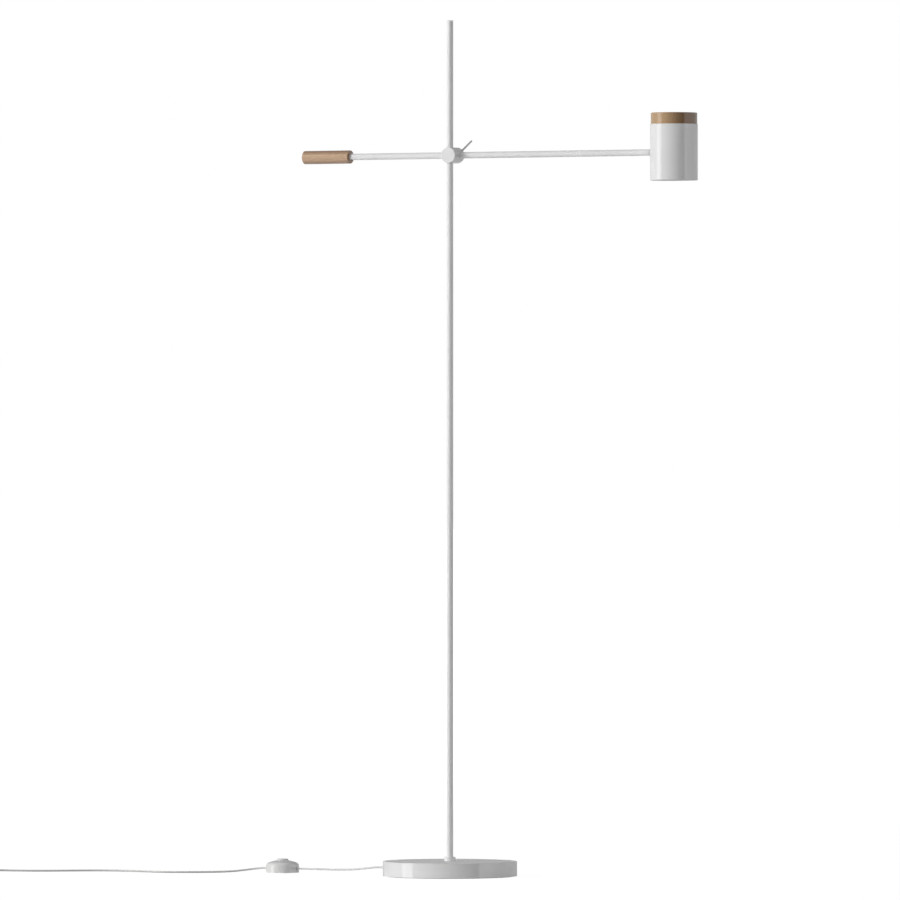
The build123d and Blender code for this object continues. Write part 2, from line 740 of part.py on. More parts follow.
with BuildPart() as pivot_neck:
    with BuildSketch(facing_x(arm_end_x)):
        Circle(NECK_D / 2)
    extrude(amount=NECK_L)
    fillet(pivot_neck.edges(), NECK_EDGE)
    with BuildSketch(facing_x(arm_end_x)):
        Circle(arm_r - ARM_WALL - FIT_GAP)
    extrude(amount=-NECK_SPIGOT_L)
    with BuildSketch(facing_x(neck_end_x)):
        Circle(SHANK_D / 2)
    extrude(amount=shank_end_x - neck_end_x)
    with BuildSketch(facing_x(arm_end_x)):
        Circle(lead_r + LEAD_BORE_GAP)
    extrude(amount=shank_end_x, both=True, mode=Mode.SUBTRACT)
keep(pivot_neck, "pivot_neck")

with BuildPart() as pivot_washer:
    with BuildSketch(facing_x(neck_washer_x)):
        Circle(NECK_WASHER_D / 2)
        Circle(SHANK_D / 2 + FIT_GAP, mode=Mode.SUBTRACT)
    extrude(amount=NECK_WASHER_T)
keep(pivot_washer, "pivot_washer")

with BuildPart() as pivot_nut:
    with BuildSketch(facing_x(neck_nut_x)):
        RegularPolygon(NECK_NUT_D / 2, 6)
        Circle(SHANK_D / 2 + FIT_GAP, mode=Mode.SUBTRACT)
    extrude(amount=NECK_NUT_T)
keep(pivot_nut, "pivot_nut")

with BuildPart() as arm_lead:
    with BuildSketch(facing_x(ARM_LEAD_START)):
        Circle(lead_r)
    extrude(amount=shank_end_x - ARM_LEAD_START)
keep(arm_lead, "arm_lead")

# Head
with BuildPart() as shade:
    with BuildSketch(head_level(mouth_z)):
        Circle(shade_r)
    extrude(amount=SHADE_H)
    fillet(shade.edges(), SHADE_EDGE)
    with BuildSketch(head_level(mouth_z)):
        Circle(shade_bore_r)
    extrude(amount=shade_ceiling - mouth_z, mode=Mode.SUBTRACT)
    with BuildSketch(facing_x(neck_end_x)):
        Circle(SHANK_D / 2 + RUN_GAP)
    extrude(amount=shade_r, mode=Mode.SUBTRACT)
    with BuildSketch(head_level(shade_ceiling)):
        with PolarLocations(cap_screw_ring, CAP_SCREW_COUNT, start_angle=90):
            Circle(CAP_SCREW_D / 2 + FIT_GAP)
        with GridLocations(0, 2 * SINK_SCREW_RING, 1, 2):
            Circle(SINK_SCREW_D / 2 + FIT_GAP)
    extrude(amount=SHADE_TOP_T, mode=Mode.SUBTRACT)
    with BuildSketch(head_level(shade_top - sink_screw_head_h)):
        with GridLocations(0, 2 * SINK_SCREW_RING, 1, 2):
            Circle(SINK_SCREW_HEAD_D / 2 + FIT_GAP)
    extrude(amount=sink_screw_head_h, mode=Mode.SUBTRACT)
keep(shade, "shade")

with BuildPart() as wood_cap:
    with BuildSketch(head_level(shade_top)):
        Circle(cap_r)
    extrude(amount=CAP_H)
    fillet(wood_cap.edges().group_by(Axis.Z)[-1], CAP_EDGE)
    with BuildSketch(head_level(shade_top)):
        with PolarLocations(cap_screw_ring, CAP_SCREW_COUNT, start_angle=90):
            Circle(CAP_SCREW_D / 2 + FIT_GAP)
    extrude(amount=CAP_SCREW_L, mode=Mode.SUBTRACT)
keep(wood_cap, "wood_cap")

with BuildPart() as cap_screws:
    with BuildSketch(head_level(shade_ceiling - CAP_SCREW_HEAD_H)):
        with PolarLocations(cap_screw_ring, CAP_SCREW_COUNT, start_angle=90):
            Circle(CAP_SCREW_HEAD_D / 2)
    extrude(amount=CAP_SCREW_HEAD_H)
    with BuildSketch(head_level(shade_ceiling)):
        with PolarLocations(cap_screw_ring, CAP_SCREW_COUNT, start_angle=90):
            Circle(CAP_SCREW_D / 2)
    extrude(amount=CAP_SCREW_L)
keep(cap_screws, "cap_screws")

fin_l = (SINK_D - SINK_CORE_D) / 2
with BuildPart() as heat_sink:
    with BuildSketch(head_level(sink_z)):
        Circle(SINK_D / 2)
        with Locations((-HEAD_LEAD_IN, 0)):
            Circle(lead_r + LEAD_BORE_GAP, mode=Mode.SUBTRACT)
    extrude(amount=SINK_BASE_T)
    with BuildSketch(head_level(sink_z + SINK_BASE_T)):
        Circle(SINK_CORE_D / 2)
        with PolarLocations(SINK_CORE_D / 2, FIN_COUNT, start_angle=180 / FIN_COUNT):
            Rectangle(2 * fin_l, FIN_T)
        Circle(SINK_D / 2, mode=Mode.INTERSECT)
    extrude(amount=shade_ceiling - sink_z - SINK_BASE_T)
    with BuildSketch(head_level(shade_ceiling)):
        with GridLocations(0, 2 * SINK_SCREW_RING, 1, 2):
            Circle(SINK_SCREW_D / 2 + FIT_GAP)
    extrude(amount=-SINK_SCREW_L, mode=Mode.SUBTRACT)
keep(heat_sink, "heat_sink")

with BuildPart() as sink_screws:
    with BuildSketch(head_level(shade_top - sink_screw_head_h)):
        with GridLocations(0, 2 * SINK_SCREW_RING, 1, 2):
            Circle(SINK_SCREW_HEAD_D / 2)
    extrude(amount=sink_screw_head_h)
    with BuildSketch(head_level(shade_top - sink_screw_head_h)):
        with GridLocations(0, 2 * SINK_SCREW_RING, 1, 2):
            Circle(SINK_SCREW_D / 2)
    extrude(amount=-SINK_SCREW_L)
keep(sink_screws, "sink_screws")

with BuildPart() as light_board:
    with BuildSketch(head_level(board_z)):
        Circle(BOARD_D / 2)
    extrude(amount=BOARD_T)
    with BuildSketch(head_level(board_z)):
        Circle(EMITTER_D / 2)
    extrude(amount=-EMITTER_T)
keep(light_board, "light_board")

reflector_top_r = REFLECTOR_TOP_D / 2
reflector_low_r = shade_bore_r - REFLECTOR_INSET
reflector_plane = Plane(origin=(HEAD_REACH, arm_y, 0), x_dir=(1, 0, 0), z_dir=(0, -1, 0))
with BuildPart() as reflector:
    with BuildSketch(reflector_plane):
        with BuildLine():
            Polyline(
                (reflector_top_r - REFLECTOR_T, board_z - FIT_GAP),
                (reflector_low_r - REFLECTOR_T, diffuser_top),
                (reflector_low_r, diffuser_top),
                (reflector_top_r, board_z - FIT_GAP),
                close=True,
            )
        make_face()
    revolve(axis=Axis((HEAD_REACH, arm_y, 0), (0, 0, 1)))
keep(reflector, "reflector")

with BuildPart() as diffuser:
    with BuildSketch(head_level(diffuser_z)):
        Circle(shade_bore_r - FIT_GAP)
    extrude(amount=DIFFUSER_T)
keep(diffuser, "diffuser")

with BuildPart() as diffuser_ring:
    with BuildSketch(head_level(diffuser_ring_z)):
        Circle(shade_bore_r - FIT_GAP)
        Circle(shade_bore_r - DIFFUSER_RING_W, mode=Mode.SUBTRACT)
    extrude(amount=DIFFUSER_RING_T)
keep(diffuser_ring, "diffuser_ring")

with BuildPart() as pivot_saddle:
    with BuildSketch(facing_x(saddle_x)):
        Rectangle(SADDLE_W, SADDLE_W)
        Circle(SHANK_D / 2 + RUN_GAP, mode=Mode.SUBTRACT)
    extrude(amount=SADDLE_T)
    with BuildSketch(head_level(CLAMP_Z)):
        Circle(shade_bore_r - FIT_GAP)
    extrude(amount=SADDLE_W, both=True, mode=Mode.INTERSECT)
keep(pivot_saddle, "pivot_saddle")

head_lead_points = [
    (shank_end_x + FACE_GAP, arm_y, CLAMP_Z),
    (HEAD_REACH - HEAD_LEAD_IN, arm_y, CLAMP_Z),
    (HEAD_REACH - HEAD_LEAD_IN, arm_y, sink_z),
]
tube("head_lead", head_lead_points, [HEAD_LEAD_BEND], LEAD_D)


# Foot switch
def switch_dome(inset):
    """Half outline of the switch's dome, drawn in from its outside."""
    side_r = switch_r - inset
    shoulder_r = side_r - SWITCH_SHOULDER_IN
    shoulder_z = crown_height(shoulder_r) - inset
    with BuildSketch(Plane(origin=(SWITCH_X, SWITCH_Y, 0), x_dir=(1, 0, 0), z_dir=(0, -1, 0))) as outline:
        with BuildLine():
            Polyline((shoulder_r, shoulder_z), (0, shoulder_z), (0, SWITCH_LIFT), (side_r, SWITCH_LIFT))
            Line((side_r, SWITCH_LIFT), (side_r, SWITCH_SIDE_Z - inset))
            TangentArc((side_r, SWITCH_SIDE_Z - inset), (shoulder_r, shoulder_z), tangent=(0, 1))
        make_face()
        with BuildLine():
            RadiusArc((0, SWITCH_CROWN_Z - inset), (shoulder_r, shoulder_z), crown_r)
            Polyline((shoulder_r, shoulder_z), (0, shoulder_z), (0, SWITCH_CROWN_Z - inset))
        make_face()
    return outline.sketch


switch_axis = Axis((SWITCH_X, SWITCH_Y, 0), (0, 0, 1))
port_plane = Plane(origin=(SWITCH_X, SWITCH_Y, PORT_Z), x_dir=(0, 1, 0), z_dir=(1, 0, 0))
switch_boss_top = crown_height(switch_boss_y + SWITCH_BOSS_D / 2) - SWITCH_SKIN
with BuildPart() as switch_cover:
    revolve(switch_dome(0), axis=switch_axis)
    revolve(switch_dome(SWITCH_WALL), axis=switch_axis, mode=Mode.SUBTRACT)
    with BuildSketch(switch_level(switch_plate_top)):
        with GridLocations(0, 2 * switch_boss_y, 1, 2):
            Circle(SWITCH_BOSS_D / 2)
    extrude(amount=switch_boss_top - switch_plate_top)
    with BuildSketch(switch_level(switch_plate_top)):
        with GridLocations(0, 2 * switch_boss_y, 1, 2):
            Circle(SWITCH_SCREW_D / 2 + FIT_GAP)
    extrude(amount=SWITCH_SCREW_L, mode=Mode.SUBTRACT)
    with BuildSketch(switch_level(core_top)):
        Circle(button_r + FACE_GAP)
    extrude(amount=SWITCH_CROWN_Z, mode=Mode.SUBTRACT)
    with BuildSketch(port_plane):
        Circle(cord_r + PORT_GAP)
    extrude(amount=SWITCH_D, both=True, mode=Mode.SUBTRACT)
    for side in (-1, 1):
        with BuildSketch(port_plane.offset(side * (switch_r - PORT_RECESS_DEPTH))):
            Circle(PORT_RECESS_D / 2)
        extrude(amount=side * SWITCH_D, mode=Mode.SUBTRACT)
keep(switch_cover, "switch_cover")

switch_plate_r = switch_r - SWITCH_WALL - FIT_GAP
with BuildPart() as switch_plate:
    with BuildSketch(switch_level(SWITCH_LIFT)):
        Circle(switch_plate_r)
        with GridLocations(0, 2 * switch_boss_y, 1, 2):
            Circle(SWITCH_SCREW_D / 2 + FIT_GAP, mode=Mode.SUBTRACT)
    extrude(amount=SWITCH_PLATE_T)
    with BuildSketch(switch_level(SWITCH_LIFT)):
        with GridLocations(0, 2 * switch_boss_y, 1, 2):
            Circle(SWITCH_SCREW_HEAD_D / 2 + FIT_GAP)
    extrude(amount=SWITCH_SCREW_HEAD_H, mode=Mode.SUBTRACT)
    with BuildSketch(switch_level(SWITCH_LIFT)):
        with PolarLocations(foot_ring, FOOT_COUNT, start_angle=180 / FOOT_COUNT):
            Circle(FOOT_D / 2 + FIT_GAP)
    extrude(amount=FOOT_SET, mode=Mode.SUBTRACT)
keep(switch_plate, "switch_plate")

with BuildPart() as switch_feet:
    with BuildSketch(switch_level(0)):
        with PolarLocations(foot_ring, FOOT_COUNT, start_angle=180 / FOOT_COUNT):
            Circle(FOOT_D / 2)
    extrude(amount=SWITCH_LIFT + FOOT_SET)
keep(switch_feet, "switch_feet")

with BuildPart() as switch_screws:
    with BuildSketch(switch_level(SWITCH_LIFT)):
        with GridLocations(0, 2 * switch_boss_y, 1, 2):
            Circle(SWITCH_SCREW_HEAD_D / 2)
    extrude(amount=SWITCH_SCREW_HEAD_H)
    with BuildSketch(switch_level(SWITCH_LIFT + SWITCH_SCREW_HEAD_H)):
        with GridLocations(0, 2 * switch_boss_y, 1, 2):
            Circle(SWITCH_SCREW_D / 2)
    extrude(amount=SWITCH_SCREW_L)
keep(switch_screws, "switch_screws")

with BuildPart() as switch_core:
    with BuildSketch(switch_level(switch_plate_top)):
        Rectangle(CORE_BLOCK_W, CORE_BLOCK_D)
    extrude(amount=CORE_BLOCK_H)
keep(switch_core, "switch_core")

with BuildPart() as switch_button:
    with BuildSketch(switch_level(button_lip_z)):
        Circle(button_r)
    extrude(amount=BUTTON_TOP - button_lip_z)
    fillet(switch_button.edges().group_by(Axis.Z)[-1], BUTTON_EDGE)
    with BuildSketch(switch_level(button_lip_z)):
        Circle(button_lip_r)
    extrude(amount=BUTTON_LIP_T)
    with BuildSketch(switch_level(button_lip_z)):
        Circle(STEM_D / 2)
    extrude(amount=stem_z - button_lip_z)
keep(switch_button, "switch_button")

# The return spring stands on the switch core, around the button's stem
spring_low = core_top + FIT_GAP + SPRING_WIRE / 2
spring_rise = button_lip_z - FIT_GAP - SPRING_WIRE / 2 - spring_low
spring_points = []
spring_tangents = []
for quarter in range(4 * SPRING_TURNS + 1):
    angle = quarter * half_turn / 2
    share = quarter / (4 * SPRING_TURNS)
    spring_points.append(
        Vector(SWITCH_X, SWITCH_Y, spring_low + share * spring_rise)
        + Vector(cos(angle), sin(angle), 0) * (SPRING_D / 2)
    )
    slope = spring_rise / (SPRING_TURNS * full_turn)
    spring_tangents.append(
        Vector(-sin(angle) * SPRING_D / 2, cos(angle) * SPRING_D / 2, slope).normalized()
    )
biarc_tube("switch_spring", spring_points, spring_tangents, SPRING_WIRE, SPRING_WIRE)

# Cord from the base to the switch, hanging a little between them
port_in = switch_r - CORD_IN_SWITCH
base_run_points = [
    (relief_tip_x, 0, CORD_EXIT_Z),
    (-162, 0, CORD_EXIT_Z),
    (-184, 0.3, 11.2),
    (-213, 0.7, 8.7),
    (-247, 1.2, 7.8),
    (-285, 1.9, 8.1),
    (-318, SWITCH_Y, PORT_Z),
    (SWITCH_X + port_in, SWITCH_Y, PORT_Z),
]
base_run_l = tube("cord_base_run", base_run_points, bend_radii(base_run_points), CORD_D)

# Coil of the cord's spare length, which starts and ends on one side, heading away from the lamp
coil_start_angle = radians(COIL_HEADING - 90)
coil_out = Vector(cos(coil_start_angle), sin(coil_start_angle))
coil_centre = Vector(COIL_START_X, COIL_START_Y) - coil_out * coil_outer_r


def coil_point(angle):
    """Point of the coil's centre line: in and out again, and a layer higher at each reversal."""
    layer = angle / layer_angle
    fold = layer % 2
    radius = coil_outer_r - (coil_outer_r - COIL_INNER_R) * min(fold, 2 - fold)
    height = coil_z
    for reversal in range(1, COIL_LAYERS):
        climb = (angle - reversal * layer_angle) / half_turn + 0.5
        climb = min(1.0, max(0.0, climb))
        height += coil_pitch * climb**2 * (3 - 2 * climb)
    turned = coil_start_angle + angle
    return coil_centre + Vector(radius * cos(turned), radius * sin(turned), height)


coil_points = []
coil_tangents = []
for quarter in range(4 * COIL_LAYERS * COIL_LAYER_TURNS + 1):
    angle = quarter * half_turn / 2
    before = coil_point(max(0.0, angle - COIL_ANGLE_STEP))
    after = coil_point(min(COIL_LAYERS * layer_angle, angle + COIL_ANGLE_STEP))
    coil_points.append(coil_point(angle))
    coil_tangents.append((after - before).normalized())
coil_l = biarc_tube("cord_coil", coil_points, coil_tangents, CORD_D, CORD_D)

# Cord over the floor from the switch to the coil
coil_entry = coil_points[0] - coil_tangents[0] * CORD_D
coil_approach = coil_entry - coil_tangents[0] * COIL_LEAD_IN
floor_run_points = [
    (SWITCH_X - port_in, SWITCH_Y, PORT_Z),
    (-409, SWITCH_Y, PORT_Z),
    (-425, -8, 6.4),
    (-441, -29, 3.5),
    (-459, -52, 1.9),
    (-488, -81, cord_r),
    (-524, -107, cord_r),
    (-561, -119, cord_r),
    (-602, -112, cord_r),
    (-640, -101, cord_r),
    (-684, -103, cord_r),
    (-723, -123, cord_r),
    (-757, -157, cord_r),
    (-795, -187, cord_r),
    (-838, -208, cord_r + TIE_T / 2),
    tuple(coil_approach),
    tuple(coil_entry),
]
floor_run_l = tube("cord_floor_run", floor_run_points, bend_radii(floor_run_points), CORD_D)

tie_angle = coil_start_angle + half_turn
tie_low = coil_z - cord_r - TIE_GAP - TIE_T
tie_h = (COIL_LAYERS - 1) * coil_pitch + CORD_D + 2 * TIE_GAP
tie_in = COIL_INNER_R - cord_r - TIE_GAP
tie_out = coil_outer_r + cord_r + TIE_GAP
tie_middle = coil_centre + Vector(cos(tie_angle), sin(tie_angle)) * ((tie_in + tie_out) / 2)
tie_plane = Plane(
    origin=(tie_middle.X, tie_middle.Y, tie_low + TIE_T + tie_h / 2),
    x_dir=(cos(tie_angle), sin(tie_angle), 0),
    z_dir=(sin(tie_angle), -cos(tie_angle), 0),
)
with BuildPart() as cord_tie:
    with BuildSketch(tie_plane):
        RectangleRounded(tie_out - tie_in + 2 * TIE_T, tie_h + 2 * TIE_T, TIE_T + TIE_GAP)
        RectangleRounded(tie_out - tie_in, tie_h, TIE_GAP, mode=Mode.SUBTRACT)
    extrude(amount=TIE_W / 2, both=True)
keep(cord_tie, "cord_tie")

# Plug-in adapter, lying on the floor in line with the cord that leaves the coil
coil_exit = coil_points[-1] + coil_tangents[-1] * CORD_D
plug_heading = coil_tangents[-1]
plug_left = Vector(-plug_heading.Y, plug_heading.X, 0)
adapter_mid_z = ADAPTER_H / 2


def tail_plane(distance):
    """Plane square to the adapter, at a distance beyond the coil."""
    spot = coil_exit + plug_heading * distance
    return Plane(origin=(spot.X, spot.Y, adapter_mid_z), x_dir=plug_left, z_dir=plug_heading)


relief_start = tail_plane(LAST_RUN_L).origin
last_run_points = [
    tuple(coil_exit),
    tuple(coil_exit + plug_heading * LAST_RUN_LEVEL_L),
    tuple(relief_start - plug_heading * LAST_RUN_LEVEL_L),
    tuple(relief_start),
]
last_run_l = tube("cord_last_run", last_run_points, bend_radii(last_run_points), CORD_D)

adapter_start = LAST_RUN_L + ADAPTER_RELIEF_L
with BuildPart() as adapter_relief:
    with BuildSketch(tail_plane(LAST_RUN_L)):
        Circle(relief_tip_r)
    with BuildSketch(tail_plane(adapter_start)):
        Circle(relief_root_r)
    loft()
keep(adapter_relief, "adapter_relief")

adapter_shell_l = ADAPTER_L - ADAPTER_FACE_T
adapter_bore_w = ADAPTER_W - 2 * ADAPTER_WALL
adapter_bore_h = ADAPTER_H - 2 * ADAPTER_WALL
with BuildPart() as adapter_shell:
    with BuildSketch(tail_plane(adapter_start)):
        RectangleRounded(ADAPTER_W, ADAPTER_H, ADAPTER_EDGE)
    extrude(amount=adapter_shell_l)
    fillet(adapter_shell.faces().sort_by(Axis(relief_start, plug_heading))[0].edges(), ADAPTER_BACK_EDGE)
    with BuildSketch(tail_plane(adapter_start + ADAPTER_WALL)):
        RectangleRounded(adapter_bore_w, adapter_bore_h, ADAPTER_INNER_EDGE)
    extrude(amount=ADAPTER_L, mode=Mode.SUBTRACT)
keep(adapter_shell, "adapter_shell")

face_start = adapter_start + adapter_shell_l
with BuildPart() as adapter_face:
    with BuildSketch(tail_plane(face_start)):
        RectangleRounded(ADAPTER_W, ADAPTER_H, ADAPTER_EDGE)
    extrude(amount=ADAPTER_FACE_T)
    with BuildSketch(tail_plane(face_start)):
        RectangleRounded(adapter_bore_w - 2 * FIT_GAP, adapter_bore_h - 2 * FIT_GAP, ADAPTER_INNER_EDGE)
    extrude(amount=-ADAPTER_RIM_L)
    with BuildSketch(tail_plane(face_start - ADAPTER_RIM_L)):
        with GridLocations(PLUG_PIN_SPACING, 0, 2, 1):
            Circle(PLUG_PIN_D / 2 + FIT_GAP)
    extrude(amount=ADAPTER_L, mode=Mode.SUBTRACT)
keep(adapter_face, "adapter_face")

with BuildPart() as plug_pins:
    with BuildSketch(tail_plane(face_start - ADAPTER_RIM_L)):
        with GridLocations(PLUG_PIN_SPACING, 0, 2, 1):
            Circle(PLUG_PIN_D / 2)
    extrude(amount=ADAPTER_RIM_L + ADAPTER_FACE_T + PLUG_PIN_L)
    pin_tips = plug_pins.faces().sort_by(Axis(relief_start, plug_heading))[-2:]
    fillet(pin_tips.edges(), PLUG_PIN_EDGE)
keep(plug_pins, "plug_pins")

driver_start = adapter_start + ADAPTER_WALL + FIT_GAP
with BuildPart() as driver_board:
    with BuildSketch(tail_plane(driver_start)):
        Rectangle(adapter_bore_w - 2 * DRIVER_SIDE_GAP, adapter_bore_h - 2 * DRIVER_TOP_GAP)
    extrude(amount=face_start - ADAPTER_RIM_L - FIT_GAP - driver_start)
keep(driver_board, "driver_board")

cord_l = base_run_l + 2 * port_in + floor_run_l + coil_l + last_run_l
print("cord from base to adapter", round(cord_l, 1))
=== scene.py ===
# %% [markdown]
# # A floor lamp with a sliding, tilting arm
# The lamp was built as solids first. Here they are loaded as a fixed frame, and this file adds what
# the solids lack: the camera, the light, the cord, the small moulded details and every finish.
# All sizes are in metres, with the floor at zero, the pole on the Z axis and the arm along X.

# %% The frame
import json
from math import atan2, cos, pi, radians, sin

import bpy
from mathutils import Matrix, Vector


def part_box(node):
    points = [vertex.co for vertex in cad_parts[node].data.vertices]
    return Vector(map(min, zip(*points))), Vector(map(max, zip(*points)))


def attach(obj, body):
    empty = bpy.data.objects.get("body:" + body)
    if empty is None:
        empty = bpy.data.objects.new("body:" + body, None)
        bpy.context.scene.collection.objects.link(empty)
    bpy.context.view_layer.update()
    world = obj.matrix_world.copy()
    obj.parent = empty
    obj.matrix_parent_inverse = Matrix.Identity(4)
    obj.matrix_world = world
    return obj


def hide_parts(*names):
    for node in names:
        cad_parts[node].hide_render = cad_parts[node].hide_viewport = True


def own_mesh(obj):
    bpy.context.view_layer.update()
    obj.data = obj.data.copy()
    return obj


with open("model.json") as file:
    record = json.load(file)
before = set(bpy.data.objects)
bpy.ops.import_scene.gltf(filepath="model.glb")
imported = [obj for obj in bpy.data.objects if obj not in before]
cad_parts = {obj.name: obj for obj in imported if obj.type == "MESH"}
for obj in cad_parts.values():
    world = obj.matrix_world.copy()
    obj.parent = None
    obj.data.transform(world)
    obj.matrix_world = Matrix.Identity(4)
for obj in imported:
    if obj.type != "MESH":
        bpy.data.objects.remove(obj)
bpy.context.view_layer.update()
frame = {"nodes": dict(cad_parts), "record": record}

nodes = frame["nodes"]

# %% [markdown]
# ## The camera
# The photograph was taken from far away with a long lens: the pole's sides stay parallel and the base's
# top is almost edge on. The lens follows from the distance and from how much of the scene the frame
# takes in. The camera could be aimed up or down at the lamp, but upright lines would then lean, so it
# stands level, a little under half the pole's height, and is only turned round the pole.

# %% Camera
CAMERA_DISTANCE = 21.17
CAMERA_HEIGHT = 0.797
CAMERA_TURN = radians(30)
CAMERA_LENS = 453.0
CAMERA_REACH = 300.0

to_camera = Vector((sin(CAMERA_TURN), -cos(CAMERA_TURN), 0))
camera_left = Vector((-cos(CAMERA_TURN), -sin(CAMERA_TURN), 0))
bpy.ops.object.camera_add(location=to_camera * CAMERA_DISTANCE + Vector((0, 0, CAMERA_HEIGHT)))
camera = bpy.context.object
camera.name = "camera"
camera.rotation_euler = (-to_camera).to_track_quat("-Z", "Y").to_euler()
camera.data.lens = CAMERA_LENS
camera.data.clip_end = CAMERA_REACH
bpy.context.scene.camera = camera
print("camera at", [round(place, 2) for place in camera.location])

# %% [markdown]
# ## The cord
# A thin white lead leaves the base, sags a little on its way to the foot switch, runs through it and
# wanders over the floor until it leaves the picture. What the picture doesn't show is wound into a
# small tied coil and ends in the sleeve of a plug-in adapter. One NURBS spline draws it all: its control
# points are the route's corners, so every bend comes out round, as a soft lead lies. The points carry the
# lead's radius, and the bevel depth of 1 only passes it on, because Blender takes a curve's box from them.

# %% Route of the cord
CORD_D = 0.0035
ROUTE = [
    (-0.14755, 0.0, 0.0142),
    (-0.162, 0.0, 0.0142),
    (-0.184, 0.0003, 0.0112),
    (-0.213, 0.0007, 0.0087),
    (-0.247, 0.0012, 0.0078),
    (-0.285, 0.0019, 0.0081),
    (-0.318, 0.0025, 0.0083),
    (-0.3385, 0.0025, 0.0083),
    (-0.3935, 0.0025, 0.0083),
    (-0.409, 0.0025, 0.0083),
    (-0.425, -0.008, 0.0064),
    (-0.441, -0.029, 0.0035),
    (-0.459, -0.052, 0.0019),
    (-0.488, -0.081, 0.00175),
    (-0.524, -0.107, 0.00175),
    (-0.561, -0.119, 0.00175),
    (-0.602, -0.112, 0.00175),
    (-0.640, -0.101, 0.00175),
    (-0.684, -0.103, 0.00175),
    (-0.723, -0.123, 0.00175),
    (-0.757, -0.157, 0.00175),
    (-0.795, -0.187, 0.00175),
    (-0.838, -0.208, 0.00215),
    (-0.87272, -0.22009, 0.00285),
]
LAST_RUN = [
    (-0.91548, -0.24048, 0.01485),
    (-0.93316, -0.24798, 0.0135),
    (-0.94642, -0.25360, 0.0135),
]
print("route corners:", len(ROUTE) + len(LAST_RUN))

# %% Turns of the coil
COIL_MIDDLE = Vector((-0.88843, -0.25616, 0))
COIL_START_TURN = radians(115)
COIL_INNER_R = 0.017
COIL_OUTER_R = 0.025
COIL_PITCH = 0.004
COIL_LOW = 0.00285
COIL_LAYERS = 4
COIL_LAYER_TURN = 4 * pi
POINTS_PER_TURN = 16


def coil_point(turn):
    """Point of the coil: it spirals in and out again, and climbs a layer where it reverses."""
    fold = turn / COIL_LAYER_TURN % 2
    radius = COIL_OUTER_R - (COIL_OUTER_R - COIL_INNER_R) * min(fold, 2 - fold)
    radius /= cos(pi / POINTS_PER_TURN)
    height = COIL_LOW
    for reversal in range(1, COIL_LAYERS):
        climb = (turn - reversal * COIL_LAYER_TURN) / pi + 0.5
        climb = min(1.0, max(0.0, climb))
        height += COIL_PITCH * climb**2 * (3 - 2 * climb)
    angle = COIL_START_TURN + turn
    return COIL_MIDDLE + Vector((radius * cos(angle), radius * sin(angle), height))


coil_steps = round(COIL_LAYERS * COIL_LAYER_TURN / (2 * pi) * POINTS_PER_TURN)
coil_points = [coil_point(step * 2 * pi / POINTS_PER_TURN) for step in range(coil_steps + 1)]
print("coil points:", len(coil_points))

# %% Cord as one spline
CORD_IN_SLEEVE = 0.008

adapter_tip = Vector(LAST_RUN[-1])
plug_heading = (adapter_tip - Vector(LAST_RUN[-2])).normalized()
cord_end = adapter_tip + plug_heading * CORD_IN_SLEEVE
cord_points = ROUTE + [tuple(point) for point in coil_points] + LAST_RUN + [tuple(cord_end)]
bpy.ops.object.select_all(action="DESELECT")
bpy.ops.curve.primitive_nurbs_path_add()
cord = bpy.context.object
cord.name = "cord"
cord.data.splines.clear()
spline = cord.data.splines.new("NURBS")
spline.points.add(len(cord_points) - 1)
for point, place in zip(spline.points, cord_points):
    point.co = (*place, 1.0)
    point.radius = CORD_D / 2
spline.order_u = 3
spline.use_endpoint_u = True
spline.resolution_u = 6
cord.data.dimensions = "3D"
cord.data.bevel_depth = 1.0
cord.data.bevel_resolution = 4
cord.data.use_fill_caps = True
bpy.context.view_layer.update()
print("cord length", round(spline.calc_length(), 3))

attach(cord, "base")
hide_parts("cord_base_run", "cord_floor_run", "cord_coil", "cord_last_run")

# %% [markdown]
# ## Ribbed sleeves on the cord
# Where the lead enters the base and the adapter, a soft moulded sleeve keeps it from kinking: a taper cut
# into ribs, so that it bends easily. A profile could be spun round the cord, but pulling one circle along
# it ring by ring, with extrude and scale, keeps every rib a plain pair of numbers: reach and radius.

# %% Ribs of a sleeve
RIB_PITCH = 0.002
GROOVE_WIDTH = 0.0009
GROOVE_SLOPE = 0.0002
GROOVE_DEPTH = 0.0004


def ribbed_taper(tip_r, root_r, length):
    """Reach and radius of each ring of a taper with grooves, from its tip to its root."""

    def ring(reach, depth):
        return (reach, tip_r + (root_r - tip_r) * reach / length - depth)

    rings = [ring(0, 0)]
    for groove in range(1, int(length / RIB_PITCH)):
        start = groove * RIB_PITCH
        stop = start + GROOVE_WIDTH
        rings += [ring(start, 0), ring(start + GROOVE_SLOPE, GROOVE_DEPTH)]
        rings += [ring(stop - GROOVE_SLOPE, GROOVE_DEPTH), ring(stop, 0)]
    return rings + [ring(length, 0)]


SLEEVE_TIP_R = 0.0024
SLEEVE_ROOT_R = 0.0036
SLEEVE_L = 0.020

sleeve_rings = ribbed_taper(SLEEVE_TIP_R, SLEEVE_ROOT_R, SLEEVE_L)
print("rings of a sleeve:", len(sleeve_rings))

# %% Pulling a circle from ring to ring
SLEEVE_SIDES = 32
MERGE_DISTANCE = 0.000005


